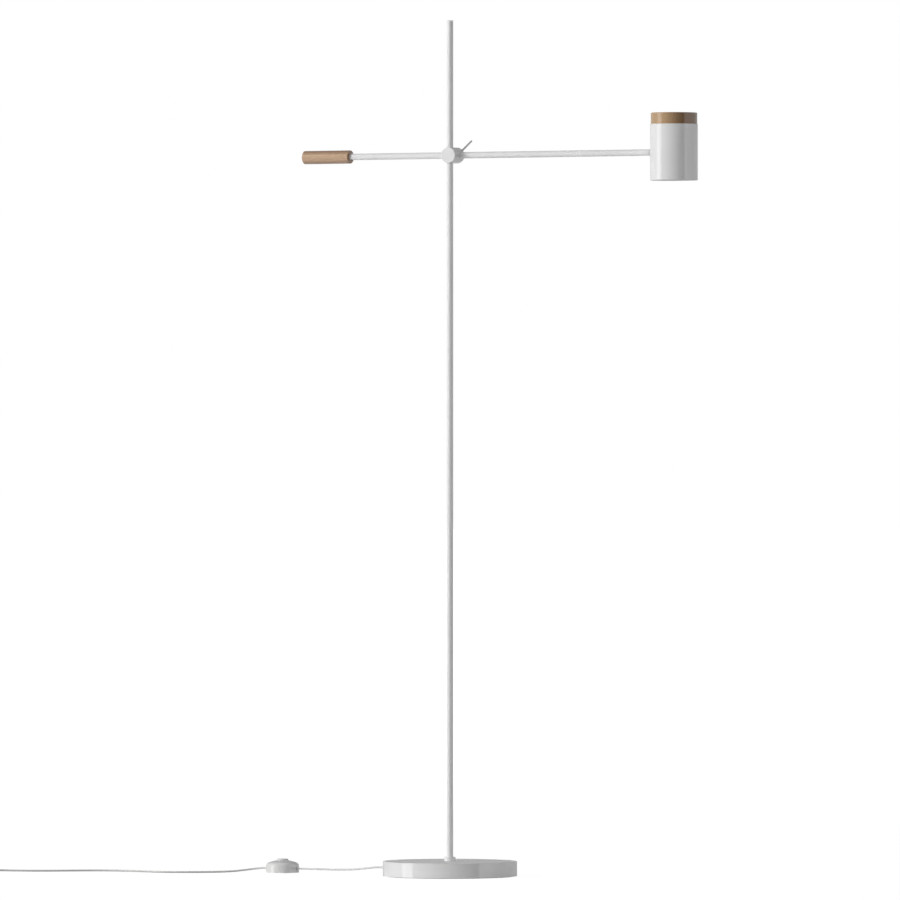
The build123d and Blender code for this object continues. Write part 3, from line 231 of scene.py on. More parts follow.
def pull_rings(name, start, heading, rings):
    """Closed hollow piece: a circle pulled along a heading from ring to ring, and back to the first."""
    turn = heading.to_track_quat("Z", "Y").to_euler()
    bpy.ops.object.select_all(action="DESELECT")
    bpy.ops.mesh.primitive_circle_add(
        vertices=SLEEVE_SIDES, radius=rings[0][1], location=start + heading * rings[0][0], rotation=turn
    )
    piece = bpy.context.object
    piece.name = name
    bpy.ops.object.transform_apply(location=True, rotation=True, scale=True)
    bpy.ops.object.mode_set(mode="EDIT")
    bpy.ops.mesh.select_all(action="SELECT")
    for (reach, radius), (next_reach, next_radius) in zip(rings, rings[1:] + rings[:1]):
        step = heading * (next_reach - reach)
        middle = start + heading * next_reach
        growth = next_radius / radius
        bpy.ops.mesh.extrude_region_move(TRANSFORM_OT_translate={"value": step})
        bpy.ops.transform.resize(value=(growth, growth, growth), center_override=middle)
    bpy.ops.mesh.select_all(action="SELECT")
    bpy.ops.mesh.remove_doubles(threshold=MERGE_DISTANCE)
    bpy.ops.mesh.normals_make_consistent(inside=False)
    bpy.ops.object.mode_set(mode="OBJECT")
    bpy.ops.object.shade_smooth_by_angle(angle=radians(50))
    return piece


slot_of = {subpart["node"]: subpart["material_slot"] for subpart in frame["record"]["subparts"]}


def stand_for(piece, body, *replaced):
    """Let a piece ride on a body in the place of solids, which are hidden."""
    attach(piece, body)
    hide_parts(*replaced)


print("finish slots in the record:", len(set(slot_of.values())))

# %% Sleeve of the base, with its lips on both sides of the sheet
BORE_R = 0.0018
LIP_R = 0.0053
LIP_L = 0.002
LIP_EDGE = 0.0004
NECK_R = 0.0039
NECK_L = 0.00185

outer_lip_end = SLEEVE_L + LIP_L
neck_end = outer_lip_end + NECK_L
inner_lip_end = neck_end + LIP_L
base_rings = sleeve_rings + [
    (SLEEVE_L, LIP_R - LIP_EDGE),
    (SLEEVE_L + LIP_EDGE, LIP_R),
    (outer_lip_end, LIP_R),
    (outer_lip_end, NECK_R),
    (neck_end, NECK_R),
    (neck_end, LIP_R),
    (inner_lip_end, LIP_R),
    (inner_lip_end, BORE_R),
    (0, BORE_R),
]
base_sleeve = pull_rings("base_sleeve", Vector(ROUTE[0]), Vector((1, 0, 0)), base_rings)
stand_for(base_sleeve, "base", "base_grommet")
print("base sleeve rings:", len(base_rings))

# %% Sleeve of the adapter
adapter_rings = sleeve_rings + [(SLEEVE_L, BORE_R), (0, BORE_R)]
adapter_sleeve = pull_rings("adapter_sleeve", adapter_tip, plug_heading, adapter_rings)
stand_for(adapter_sleeve, "base", "adapter_relief")
print("adapter sleeve rings:", len(adapter_rings))

# %% [markdown]
# ## Shell of the adapter
# The adapter is a moulded box that closes with a lid on the side of its pins. It could be pulled from a
# flat outline, but a cube, as long as the shell, keeps each round a single number: its long edges get a
# wide round, its back a smaller one, and its front a fine chamfer that shows as the seam to the lid.
# Grooves for the fingers are cut by bisecting the sides and insetting the strips. The front is then opened,
# and Solidify gives the wall.

# %% Choosing edges and faces
ALIGNED = 0.999
IN_PLANE = 0.00001


def pick(piece, kind, wanted):
    """Select, in edit mode, the edges or faces that a test picks."""
    bpy.ops.object.mode_set(mode="EDIT")
    bpy.ops.mesh.select_mode(type=kind)
    bpy.ops.mesh.select_all(action="DESELECT")
    bpy.ops.object.mode_set(mode="OBJECT")
    for element in piece.data.edges if kind == "EDGE" else piece.data.polygons:
        element.select = wanted(element)
    bpy.ops.object.mode_set(mode="EDIT")


def edge_ends(piece, edge):
    """Places of an edge's two ends."""
    return [piece.data.vertices[index].co for index in edge.vertices]


def runs_along(piece, axis):
    """Test for edges along one axis."""

    def test(edge):
        first, second = edge_ends(piece, edge)
        return abs((second - first).normalized()[axis]) > ALIGNED

    return test


def lies_at(piece, axis, place):
    """Test for edges that lie in a plane across one axis."""
    return lambda edge: all(abs(end[axis] - place) < IN_PLANE for end in edge_ends(piece, edge))


print("an edge counts as along an axis above", ALIGNED)


# %% Starting and finishing a piece
def add_block(name, size, middle):
    """Cube of a given size, as a start."""
    bpy.ops.object.select_all(action="DESELECT")
    bpy.ops.mesh.primitive_cube_add(size=1, location=middle, scale=size)
    piece = bpy.context.object
    piece.name = name
    bpy.ops.object.transform_apply(location=True, rotation=True, scale=True)
    return piece


def harden(piece, kind, name, **settings):
    """Add a modifier with its settings and apply it."""
    modifier = piece.modifiers.new(name, kind)
    for setting, value in settings.items():
        setattr(modifier, setting, value)
    bpy.ops.object.modifier_apply(modifier=name)


def place_piece(piece, place, turn):
    """Turn a piece that was made at the origin, move it to its place and keep that in its mesh."""
    bpy.ops.object.mode_set(mode="OBJECT")
    piece.rotation_euler = (0, 0, turn)
    piece.location = place
    bpy.ops.object.transform_apply(location=True, rotation=True, scale=True)


print("helpers ready: start, harden, place")

# %% Box with rounded edges
SHELL_L = 0.053
SHELL_W = 0.036
SHELL_H = 0.027
SHELL_WALL = 0.002
LONG_ROUND = 0.003
BACK_ROUND = 0.0015
SEAM_CHAMFER = 0.0004

shell = add_block("adapter_box", (SHELL_L, SHELL_W, SHELL_H), (SHELL_L / 2, 0, 0))
pick(shell, "EDGE", runs_along(shell, 0))
bpy.ops.mesh.bevel(offset=LONG_ROUND, segments=6)
pick(shell, "EDGE", lies_at(shell, 0, 0.0))
bpy.ops.mesh.bevel(offset=BACK_ROUND, segments=4)
pick(shell, "EDGE", lies_at(shell, 0, SHELL_L))
bpy.ops.mesh.bevel(offset=SEAM_CHAMFER, segments=1)
print("box corners:", len(shell.data.vertices))

# %% Finger grooves on both sides
GRIP_START = 0.026
GRIP_PITCH = 0.0032
GRIP_WIDTH = 0.0016
GRIP_COUNT = 6
GRIP_HALF_H = 0.0075
GRIP_DEPTH = 0.0006
GRIP_SLOPE = 0.0003

grip_starts = [GRIP_START + index * GRIP_PITCH for index in range(GRIP_COUNT)]
cuts = [((start + width, 0, 0), (1, 0, 0)) for start in grip_starts for width in (0, GRIP_WIDTH)]
cuts += [((0, 0, side * GRIP_HALF_H), (0, 0, 1)) for side in (-1, 1)]
bpy.ops.object.mode_set(mode="EDIT")
for cut_place, cut_way in cuts:
    bpy.ops.mesh.select_all(action="SELECT")
    bpy.ops.mesh.bisect(plane_co=cut_place, plane_no=cut_way)


def in_groove(face):
    """True for the strips on the two sides that become grooves."""
    along = any(start < face.center.x < start + GRIP_WIDTH for start in grip_starts)
    return along and abs(face.normal.y) > ALIGNED and abs(face.center.z) < GRIP_HALF_H


pick(shell, "FACE", in_groove)
bpy.ops.mesh.inset(thickness=GRIP_SLOPE, depth=-GRIP_DEPTH)
print("grooves on each side:", GRIP_COUNT)

# %% Open front, wall and place of the shell
pick(shell, "FACE", lambda face: face.normal.x > ALIGNED)
bpy.ops.mesh.delete(type="FACE")
bpy.ops.object.mode_set(mode="OBJECT")
harden(shell, "SOLIDIFY", "wall", thickness=SHELL_WALL, offset=-1.0)
bpy.ops.object.shade_smooth_by_angle(angle=radians(40))
plug_turn = atan2(plug_heading.y, plug_heading.x)
place_piece(shell, adapter_tip + plug_heading * SLEEVE_L, plug_turn)
stand_for(shell, "base", "adapter_shell")
print("adapter box faces:", len(shell.data.polygons))

# %% [markdown]
# ## Tie of the coil
# The spare cord is held by a small plastic band with a buckle. The band could be bent from a strip, but a
# block with round corners, opened at both sides and given a wall, comes out closed and even. The buckle is
# a second block with a recess, joined to it.

# %% Band
TIE_LENGTH = 0.0137
TIE_WIDTH = 0.005
TIE_HEIGHT = 0.0177
TIE_WALL = 0.0008
TIE_ROUND = 0.0028
TIE_TURN = COIL_START_TURN + pi
TIE_REACH = (COIL_INNER_R + COIL_OUTER_R) / 2

band = add_block("coil_tie", (TIE_LENGTH, TIE_WIDTH, TIE_HEIGHT), (0, 0, 0))
pick(band, "EDGE", runs_along(band, 1))
bpy.ops.mesh.bevel(offset=TIE_ROUND, segments=6)
pick(band, "FACE", lambda face: abs(face.normal.y) > ALIGNED)
bpy.ops.mesh.delete(type="FACE")
bpy.ops.object.mode_set(mode="OBJECT")
harden(band, "SOLIDIFY", "wall", thickness=TIE_WALL, offset=-1.0)
print("band faces:", len(band.data.polygons))

# %% Buckle, joined to the band
BUCKLE_SIZE = (0.0022, 0.0066, 0.0058)
BUCKLE_OUT = 0.0004
BUCKLE_ROUND = 0.0003
BUCKLE_FRAME = 0.0011
BUCKLE_RECESS = 0.0007

buckle = add_block("buckle", BUCKLE_SIZE, (TIE_LENGTH / 2 + BUCKLE_OUT, 0, 0))
pick(buckle, "FACE", lambda face: face.normal.x > ALIGNED)
bpy.ops.mesh.inset(thickness=BUCKLE_FRAME, depth=0)
bpy.ops.mesh.inset(thickness=0, depth=-BUCKLE_RECESS)
bpy.ops.object.mode_set(mode="OBJECT")
harden(buckle, "BEVEL", "soft_edges", width=BUCKLE_ROUND, segments=3)
band.select_set(True)
bpy.context.view_layer.objects.active = band
bpy.ops.object.join()
bpy.ops.object.shade_smooth_by_angle(angle=radians(40))
tie_side = Vector((cos(TIE_TURN), sin(TIE_TURN), 0))
place_piece(band, COIL_MIDDLE + tie_side * TIE_REACH + Vector((0, 0, TIE_HEIGHT / 2)), TIE_TURN)
stand_for(band, "base", "cord_tie")
print("tie faces:", len(band.data.polygons))

# %% [markdown]
# ## Return spring of the switch
# Under the button of the foot switch stands a coil spring, which has to shorten as the button goes down. A
# curve with a round section could draw it, but a small upright circle beside the axis, wound up by a Screw
# modifier, is a mesh from the start, and its two open ends are filled.

# %% Spring under the button
SPRING_TURNS = 3
SPRING_R = 0.005
SPRING_WIRE_R = 0.0004

spring_low, spring_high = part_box("switch_spring")
spring_height = spring_high.z - spring_low.z
spring_foot = (spring_low + spring_high) / 2 - Vector((0, 0, spring_height / 2))
spring_pitch = (spring_height - 2 * SPRING_WIRE_R) / SPRING_TURNS
bpy.ops.object.select_all(action="DESELECT")
bpy.ops.mesh.primitive_circle_add(
    vertices=10, radius=SPRING_WIRE_R, location=(SPRING_R, 0, SPRING_WIRE_R), rotation=(pi / 2, 0, 0)
)
spring = bpy.context.object
spring.name = "button_spring"
bpy.ops.object.transform_apply(location=True, rotation=True, scale=True)
harden(spring, "SCREW", "winding", iterations=SPRING_TURNS, screw_offset=spring_pitch, steps=32)
bpy.ops.object.mode_set(mode="EDIT")
bpy.ops.mesh.select_mode(type="EDGE")
bpy.ops.mesh.select_all(action="DESELECT")
bpy.ops.mesh.select_non_manifold()
bpy.ops.mesh.fill_holes(sides=0)
bpy.ops.mesh.select_all(action="SELECT")
bpy.ops.mesh.normals_make_consistent(inside=False)
place_piece(spring, spring_foot, 0)
bpy.ops.object.shade_smooth_by_angle(angle=radians(60))
stand_for(spring, "base", "switch_spring")
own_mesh(spring)
print("spring faces:", len(spring.data.polygons))

# %% [markdown]
# ## The cord and what it carries
# The pieces that ride on the cord are gathered in a list: those of the foot switch, of the
# adapter and the tie of the coil.

switch_solids = [
    "switch_cover",
    "switch_plate",
    "switch_feet",
    "switch_core",
    "switch_screws",
    "switch_button",
]
adapter_solids = ["adapter_face", "plug_pins", "driver_board"]
cord_pieces = [nodes[name] for name in switch_solids + adapter_solids]
cord_pieces += [spring, band, adapter_sleeve, shell]
print("pieces on the cord:", len(cord_pieces))

# %% [markdown]
# ## Writing shader maths as Python
# A finish is a small sum of patterns. Its nodes could be wired one by one, but a sum is easier to read as
# one. `Wire` holds one output of a node and turns `+`, `-`, `*` and `/` into Math nodes, and `add` makes
# any other node: its settings are set first, then its inputs.


# %% Values as wires
class Wire:
    """One output of a node; arithmetic on it adds Math nodes."""

    def __init__(self, tree, socket):
        self.tree = tree
        self.socket = socket

    def maths(self, operation, other=0.0):
        return add(self.tree, "ShaderNodeMath", {"operation": operation}, {0: self, 1: other})

    def __add__(self, other):
        return self.maths("ADD", other)

    def __sub__(self, other):
        return self.maths("SUBTRACT", other)

    def __rsub__(self, other):
        return add(self.tree, "ShaderNodeMath", {"operation": "SUBTRACT"}, {0: other, 1: self})

    def __mul__(self, other):
        return self.maths("MULTIPLY", other)

    def __truediv__(self, other):
        return self.maths("DIVIDE", other)

    __radd__ = __add__
    __rmul__ = __mul__


def add(tree, kind, settings=None, inputs=None, output=0):
    """Add a node and give one of its outputs."""
    made = tree.nodes.new(kind)
    for name, value in (settings or {}).items():
        if name == "stops":
            stops = made.color_ramp.elements
            while len(stops) < len(value):
                stops.new(1.0)
            for stop, (place, grey) in zip(stops, value):
                stop.position = place
                stop.color = (grey, grey, grey, 1)
        else:
            setattr(made, name, value)
    for name, value in (inputs or {}).items():
        if isinstance(value, Wire):
            tree.links.new(value.socket, made.inputs[name])
        else:
            made.inputs[name].default_value = value
    return Wire(tree, made.outputs[output])


print("Math nodes can be written as sums")


# %% Places and patterns
def object_place(tree):
    """Coordinates on the piece itself, in metres."""
    return add(tree, "ShaderNodeTexCoord", output="Object")


def height_of(tree, place):
    """How high a place lies."""
    return add(tree, "ShaderNodeSeparateXYZ", {}, {0: place}, output="Z")


def along_axis(tree, place, axis):
    """How far a place lies along a direction."""
    settings = {"operation": "DOT_PRODUCT"}
    return add(tree, "ShaderNodeVectorMath", settings, {0: place, 1: axis}, output="Value")


def length_of(tree, place):
    """How far a place lies from the origin."""
    return add(tree, "ShaderNodeVectorMath", {"operation": "LENGTH"}, {0: place}, output="Value")


def stretch(tree, place, sides):
    """Coordinates times a number on each axis."""
    return add(tree, "ShaderNodeVectorMath", {"operation": "MULTIPLY"}, {0: place, 1: sides})


def noise(tree, place, scale, detail=2.0):
    """Cloudy pattern with patches about 1/scale metres wide."""
    return add(tree, "ShaderNodeTexNoise", {}, {"Vector": place, "Scale": scale, "Detail": detail})


def streaks(tree, place, sides, detail=3.0):
    """Cloudy pattern that is drawn out along the axes where sides is small."""
    return noise(tree, stretch(tree, place, sides), 1.0, detail)


def ramp(tree, value, low, high):
    """Share of the way of a value from low to high."""
    return add(tree, "ShaderNodeMapRange", {}, {"Value": value, "From Min": low, "From Max": high})


def bump(tree, height, depth):
    """Normal of a surface with small heights, depth metres from low to high."""
    return add(tree, "ShaderNodeBump", {}, {"Height": height, "Distance": depth, "Strength": 1.0})


print("patterns ready: noise, streaks, ramp, bump")

# %% Colours
# A Mix node has sockets for every kind of data, and these three are the ones for colours.
MIX_FIRST = 6
MIX_SECOND = 7
MIX_RESULT = 2


def blend_colours(tree, share, first, second, way="MIX"):
    """Mix two colours by a share."""
    settings = {"data_type": "RGBA", "blend_type": way}
    inputs = {"Factor": share, MIX_FIRST: first, MIX_SECOND: second}
    return add(tree, "ShaderNodeMix", settings, inputs, output=MIX_RESULT)


def stain(tree, plain, tint):
    """A colour times a tint."""
    return blend_colours(tree, 1.0, plain, tint, way="MULTIPLY")


def colour(red, green, blue):
    """Colour from the 0 to 255 values that a picture shows, made linear."""
    return (*[((part / 255 + 0.055) / 1.055) ** 2.4 for part in (red, green, blue)], 1.0)


def toned(shade, tone):
    """A colour with each part times a number."""
    return (*[part * tone for part in shade[:3]], 1.0)


print("middle grey is", round(colour(128, 128, 128)[0], 3), "in linear light")


# %% Starting a finish and feeding its shader
def new_finish(name):
    """New material with its tree and its shader node."""
    material = bpy.data.materials.new(name)
    material.use_nodes = True
    tree = material.node_tree
    return material, tree, tree.nodes["Principled BSDF"]


def feed(tree, shader, **sockets):
    """Set or link sockets of a shader by name, with underscores for spaces."""
    for name, value in sockets.items():
        socket = shader.inputs[name.replace("_", " ")]
        if isinstance(value, Wire):
            tree.links.new(value.socket, socket)
        else:
            socket.default_value = value


def show(tree, look):
    """Make a shader the surface of a material."""
    tree.links.new(look.socket, tree.nodes["Material Output"].inputs["Surface"])


print("finish helpers ready")

# %% [markdown]
# ## Floor and light
# The picture has a plain white ground and one tall soft light on the left, which draws a bright band
# down the side of every tube. More light could turn the ground white, but it would bleach the lamp as
# well. So the world is white only to the camera, to reflections and through glass, and a plain grey light
# for everything else, dimmer overhead than at the horizon and a little stronger from the front. The floor
# glows white to the camera but keeps a share of real shading round the lamp, so that a light shadow is left
# under it. Far off, where no lamp reaches, it only glows. From below it is clear, and it lies a hair under
# the feet, so that the underside can be looked at too.

# %% World
HORIZON_LIGHT = 0.355
FRONT_FILL = 0.23
OVERHEAD_DIMMING = 0.2

bpy.context.scene.view_settings.view_transform = "Standard"
world = bpy.data.worlds.new("studio")
bpy.context.scene.world = world
world.use_nodes = True
world_tree = world.node_tree


def background_rays(tree):
    """One for rays of the camera, of reflections and of clear glass, and nothing for the rest."""
    path = tree.nodes.new("ShaderNodeLightPath")
    seen, mirrored, refracted = [
        Wire(tree, path.outputs[f"Is {kind} Ray"]) for kind in ("Camera", "Glossy", "Transmission")
    ]
    return seen.maths("MAXIMUM", mirrored).maths("MAXIMUM", refracted)


sky_place = add(world_tree, "ShaderNodeTexCoord", output="Generated")
rise = height_of(world_tree, sky_place)
front = along_axis(world_tree, sky_place, to_camera)
ambient = HORIZON_LIGHT + front * FRONT_FILL - rise.maths("MAXIMUM", 0) * OVERHEAD_DIMMING
sky_strength = ambient + background_rays(world_tree) * (1 - ambient)
feed(world_tree, world_tree.nodes["Background"], Color=(1, 1, 1, 1), Strength=sky_strength)
print("light from the horizon:", HORIZON_LIGHT)

# %% Floor
FLOOR_SIDE = 160.0
FLOOR_DROP = 0.0001
FLOOR_GLOW = 1.16
FLOOR_GLOW_SHARE = 0.80
FLOOR_FADE_FROM = 2.5
FLOOR_FADE_TO = 7.0

bpy.ops.object.select_all(action="DESELECT")
bpy.ops.mesh.primitive_plane_add(size=FLOOR_SIDE, location=(0, 0, -FLOOR_DROP))
floor = bpy.context.object
floor.name = "floor"
floor_finish, floor_tree, floor_shader = new_finish("floor_white")
feed(floor_tree, floor_shader, Base_Color=colour(225, 225, 225), Roughness=0.9)
glow = add(floor_tree, "ShaderNodeEmission", {}, {"Color": (1, 1, 1, 1), "Strength": FLOOR_GLOW})
shaded = Wire(floor_tree, floor_shader.outputs[0])
away = length_of(floor_tree, object_place(floor_tree))
far_share = ramp(floor_tree, away, FLOOR_FADE_FROM, FLOOR_FADE_TO) * (1 - FLOOR_GLOW_SHARE)
glow_share = background_rays(floor_tree) * (far_share + FLOOR_GLOW_SHARE)
ground = add(floor_tree, "ShaderNodeMixShader", {}, {0: glow_share, 1: shaded, 2: glow})
from_below = add(floor_tree, "ShaderNodeNewGeometry", output="Backfacing")
clear = add(floor_tree, "ShaderNodeBsdfTransparent")
show(floor_tree, add(floor_tree, "ShaderNodeMixShader", {}, {0: from_below, 1: ground, 2: clear}))
floor.data.materials.append(floor_finish)
floor.visible_glossy = False
print("floor", FLOOR_SIDE, "m wide")

# %% [markdown]
# Three area lights stand far off, turned to the left from the camera's direction by the angles below. The
# first shows as the bright band in the paint. The second only adds light, so it is hidden from reflections,
# and so is the low one behind, which lights the back for views from there.

# %% Lights
LIGHT_DISTANCE = 9.0


def soft_light(name, turn, width, low, high, radiance, mirrored):
    """Upright light panel that faces the lamp, of a given brightness, seen in reflections or not."""
    side = to_camera * cos(turn) + camera_left * sin(turn)
    height = high - low
    middle = side * LIGHT_DISTANCE + Vector((0, 0, low + height / 2))
    bpy.ops.object.light_add(type="AREA", location=middle)
    panel = bpy.context.object
    panel.name = name
    panel.data.shape = "RECTANGLE"
    panel.data.size = width
    panel.data.size_y = height
    panel.data.energy = radiance * pi * width * height
    panel.rotation_euler = (-side).to_track_quat("-Z", "Y").to_euler()
    panel.visible_camera = False
    panel.visible_glossy = mirrored
    return panel


lights = [
    soft_light("band_light", radians(78.5), width=3.66, low=-1.0, high=8.0, radiance=2.9, mirrored=True),
    soft_light("side_light", radians(67), width=2.9, low=0.5, high=6.5, radiance=7.15, mirrored=False),
    soft_light("back_light", radians(180), width=5.0, low=0.0, high=2.6, radiance=8.0, mirrored=False),
]
print("lights:", [panel.name for panel in lights])

# %% [markdown]
# A round wall stands far outside the lights, and only reflections see it. It is paler on the right than
# towards the camera, which leaves the faint step on the dark side of the tubes, and grey behind, so that
# the base's top and the rims of the tubes don't flare.

# %% Wall for reflections
WALL_R = 18.0
WALL_LOW = -4.0
WALL_HIGH = 45.0

bpy.ops.object.select_all(action="DESELECT")
bpy.ops.mesh.primitive_cylinder_add(
    vertices=128,
    radius=WALL_R,
    depth=WALL_HIGH - WALL_LOW,
    end_fill_type="NOTHING",
    location=(0, 0, (WALL_LOW + WALL_HIGH) / 2),
)
wall = bpy.context.object
wall.name = "reflection_wall"
wall.visible_camera = False
wall.visible_diffuse = False
wall.visible_shadow = False
wall.visible_transmission = False
print("wall faces:", len(wall.data.polygons))

# %% Greys of the wall
# Each row is a turn in degrees from the camera's direction, with the left positive, and the grey there.
WALL_GLOW = 2.2
WALL_GREYS = [
    (-180, 0.16),
    (-110, 0.60),
    (-53, 1.0),
    (-51, 0.10),
    (66, 0.10),
    (92, 0.32),
    (150, 0.32),
    (180, 0.16),
]

wall_finish, wall_tree, _ = new_finish("wall_greys")
wall_place = object_place(wall_tree)
leftward = along_axis(wall_tree, wall_place, camera_left)
wall_turn = leftward.maths("ARCTAN2", along_axis(wall_tree, wall_place, to_camera))
wall_stops = [(turn / 360 + 0.5, grey) for turn, grey in WALL_GREYS]
wall_grey = add(wall_tree, "ShaderNodeValToRGB", {"stops": wall_stops}, {"Fac": wall_turn / (2 * pi) + 0.5})
show(wall_tree, add(wall_tree, "ShaderNodeEmission", {}, {"Color": wall_grey, "Strength": WALL_GLOW}))
wall.data.materials.append(wall_finish)
print("stage: floor and reflection wall")

# %% [markdown]
# ## White satin paint
# Steel and aluminium are sprayed white and baked. Such paint is nearly even, with a sharp but weak
# gloss and a skin of very fine ripples. A plain white would do from afar, but close up it looks drawn. So
# the colour drifts by a few hundredths, the gloss by a little more, and a bump of fine noise gives the
# ripples. The top of the base is duller, as a surface that dust settles on and a cloth wipes.

# %% Paint
DRIFT_SCALE = 9.0
DRIFT_TONE = 0.96
GLOSS_SCALE = 60.0
GLOSS_SWING = 0.03
RIPPLE_SCALE = 700.0
RIPPLE_DEPTH = 0.000002
TOP_DULLNESS = 0.3
TOP_FADE = 0.0002


def dulling(tree, place, top):
    """Extra roughness of a top face at a height."""
    return ramp(tree, height_of(tree, place), top - 2 * TOP_FADE, top - TOP_FADE) * TOP_DULLNESS


def white_paint(name, shade, roughness, dull_above=None):
    """White paint of a given tone and gloss, duller above a height if one is given."""
    finish, tree, shader = new_finish(name)
    place = object_place(tree)
    ripples = noise(tree, place, RIPPLE_SCALE, detail=1.0)
    gloss = noise(tree, place, GLOSS_SCALE) * GLOSS_SWING + (roughness - GLOSS_SWING / 2)
    if dull_above is not None:
        gloss = gloss + dulling(tree, place, dull_above)
    feed(
        tree,
        shader,
        Base_Color=blend_colours(tree, noise(tree, place, DRIFT_SCALE), shade, toned(shade, DRIFT_TONE)),
        Roughness=gloss,
        Normal=bump(tree, ripples, RIPPLE_DEPTH),
    )
    return finish


base_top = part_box("base_cover")[1].z
paint = white_paint("paint_white", colour(235, 235, 235), roughness=0.08)
base_paint = white_paint("paint_base", colour(235, 235, 235), roughness=0.08, dull_above=base_top)
# The neck's paint is darker, as painted shade in the gap between the arm and the lampshade.
neck_paint_shaded = white_paint("paint_neck_shaded", colour(215, 215, 215), roughness=0.3)
# The lever's paint is a darker grey, as painted shade for the pole's shadow on it.
lever_paint_shaded = white_paint("paint_lever_shaded", colour(198, 198, 198), roughness=0.3)
print("paint on the base turns dull at", round(base_top, 4))

# %% [markdown]
# ## Light wood
# The grip of the counterweight and the cap of the shade are turned from pale hardwood under a clear
# lacquer. A picture of wood could be wrapped round them, but it would show seams and stretch at the ends. A
# pattern in space is cut by the surface as a plank is by the saw. Wood is a stack of yearly cones round a
# far pith: the distance from a pith line gives the rings, long thin noise gives the fibres, and short dark
# dashes give the pores. The end grain of the grip drinks more lacquer and is a deeper brown. The top and
# bottom of the grip and the side of the cap away from the light are painted a deeper brown as shade.

# %% Wood
YEAR_WIDTH = 0.0017
YEAR_WANDER = 0.006
WANDER_SIDES = (6.0, 22.0, 22.0)
LATE_FROM = 0.45
LATE_SHARE = 0.3
FIBRE_SIDES = (7.0, 900.0, 900.0)
FIBRE_SHARE = 0.75
PALE_SHARE = 0.05
FLECK_SIDES = (40.0, 2200.0, 2200.0)
PORE_FROM = 0.62
PORE_TO = 0.72
PORE_SHARE = 0.4
PORE_TINT = (0.5, 0.48, 0.46, 1)
# Painted shade on the grip's top and bottom starts this far from its middle height and is full this far.
SHADED_RIM_FROM = 0.0055
SHADED_RIM_TO = 0.0115
LACQUER_ROUGHNESS = 0.16
FIBRE_ROUGHNESS = 0.08
PORE_ROUGHNESS = 0.15
GRAIN_RELIEF = 0.6
GRAIN_DEPTH = 0.00002


def turned_wood(
    name, pith, pale, brown, end_grain_and_shade_tint, end_grain_and_shade_axis, end_grain_and_shade_from, end_grain_and_shade_to, shaded_rim_middle=None, dull_above=None
):
    """Wood with fibres along X and rings round the pith, deeper along an axis for end grain and painted
    shade, and painted shade off a lit middle height.
    """
    finish, tree, shader = new_finish(name)
    place = object_place(tree)
    offset = add(tree, "ShaderNodeVectorMath", {"operation": "SUBTRACT"}, {0: place, 1: pith})
    from_pith = length_of(tree, stretch(tree, offset, (0.0, 1.0, 1.0)))
    year = (from_pith + streaks(tree, place, WANDER_SIDES) * YEAR_WANDER) / YEAR_WIDTH
    late = ramp(tree, year.maths("FRACT"), LATE_FROM, 1.0)
    fibre = streaks(tree, place, FIBRE_SIDES)
    pore = ramp(tree, streaks(tree, place, FLECK_SIDES, detail=1.0), PORE_FROM, PORE_TO)
    grain = blend_colours(tree, late * LATE_SHARE + fibre * FIBRE_SHARE - PALE_SHARE, pale, brown)
    # Darker along the axis: real end grain on the grip, painted shade on the cap's side away from the
    # light.
    end_grain_and_shade = ramp(tree, along_axis(tree, place, end_grain_and_shade_axis), end_grain_and_shade_from, end_grain_and_shade_to)
    # Painted shade on the grip's top and bottom, away from its lit middle height.
    if shaded_rim_middle is not None:
        off_lit_middle = (height_of(tree, place) - shaded_rim_middle).maths("ABSOLUTE")
        end_grain_and_shade = end_grain_and_shade.maths("MAXIMUM", ramp(tree, off_lit_middle, SHADED_RIM_FROM, SHADED_RIM_TO))
    grain_with_end_and_shade = blend_colours(tree, end_grain_and_shade, grain, stain(tree, grain, end_grain_and_shade_tint))
    gloss = fibre * FIBRE_ROUGHNESS + pore * PORE_ROUGHNESS + LACQUER_ROUGHNESS
    if dull_above is not None:
        gloss = gloss + dulling(tree, place, dull_above)
    feed(
        tree,
        shader,
        Base_Color=blend_colours(tree, pore * PORE_SHARE, grain_with_end_and_shade, stain(tree, grain_with_end_and_shade, PORE_TINT)),
        Roughness=gloss,
        Normal=bump(tree, fibre * GRAIN_RELIEF - pore * GRAIN_RELIEF, GRAIN_DEPTH),
    )
    return finish


print("yearly rings every", YEAR_WIDTH, "m")

# %% Wood of the grip and of the cap
# The grip's top and bottom are painted darker as shade, round a height just under its middle.
SHADED_RIM_DROP = 0.001

grip_middle = sum(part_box("counterweight_sleeve"), Vector()).z / 2
grip_wood = turned_wood(
    "wood_grip",
    pith=(0.0, 0.052, 1.327),
    pale=colour(203, 172, 143),
    brown=colour(170, 138, 108),
    end_grain_and_shade_tint=(0.58, 0.49, 0.42, 1),
    end_grain_and_shade_axis=(1, 0, 0),
    end_grain_and_shade_from=-0.2262,
    end_grain_and_shade_to=-0.2254,
    shaded_rim_middle=grip_middle - SHADED_RIM_DROP,
)
cap_wood = turned_wood(
    "wood_cap",
    pith=(0.0, -0.035, 1.362),
    pale=colour(196, 165, 128),
    brown=colour(162, 130, 95),
    end_grain_and_shade_tint=(0.42, 0.32, 0.24, 1),
    # The cap's side away from the light, to the camera's right, is painted darker as shade.
    end_grain_and_shade_axis=-camera_left,
    end_grain_and_shade_from=0.398,
    end_grain_and_shade_to=0.436,
    dull_above=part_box("wood_cap")[1].z,
)
print("wood:", grip_wood.name, cap_wood.name)

# %% [markdown]
# ## Plastic, rubber and bare metal
# The switch, the adapter and the glands are moulded, so their skin has a fine even texture. The small
# inner pieces get finishes too, because they show from below or when someone takes the lamp apart. One
# function makes all that is moulded and one all bare metal, because only their numbers differ. The cord is
# painted a little greyer near the floor, as shade under it.

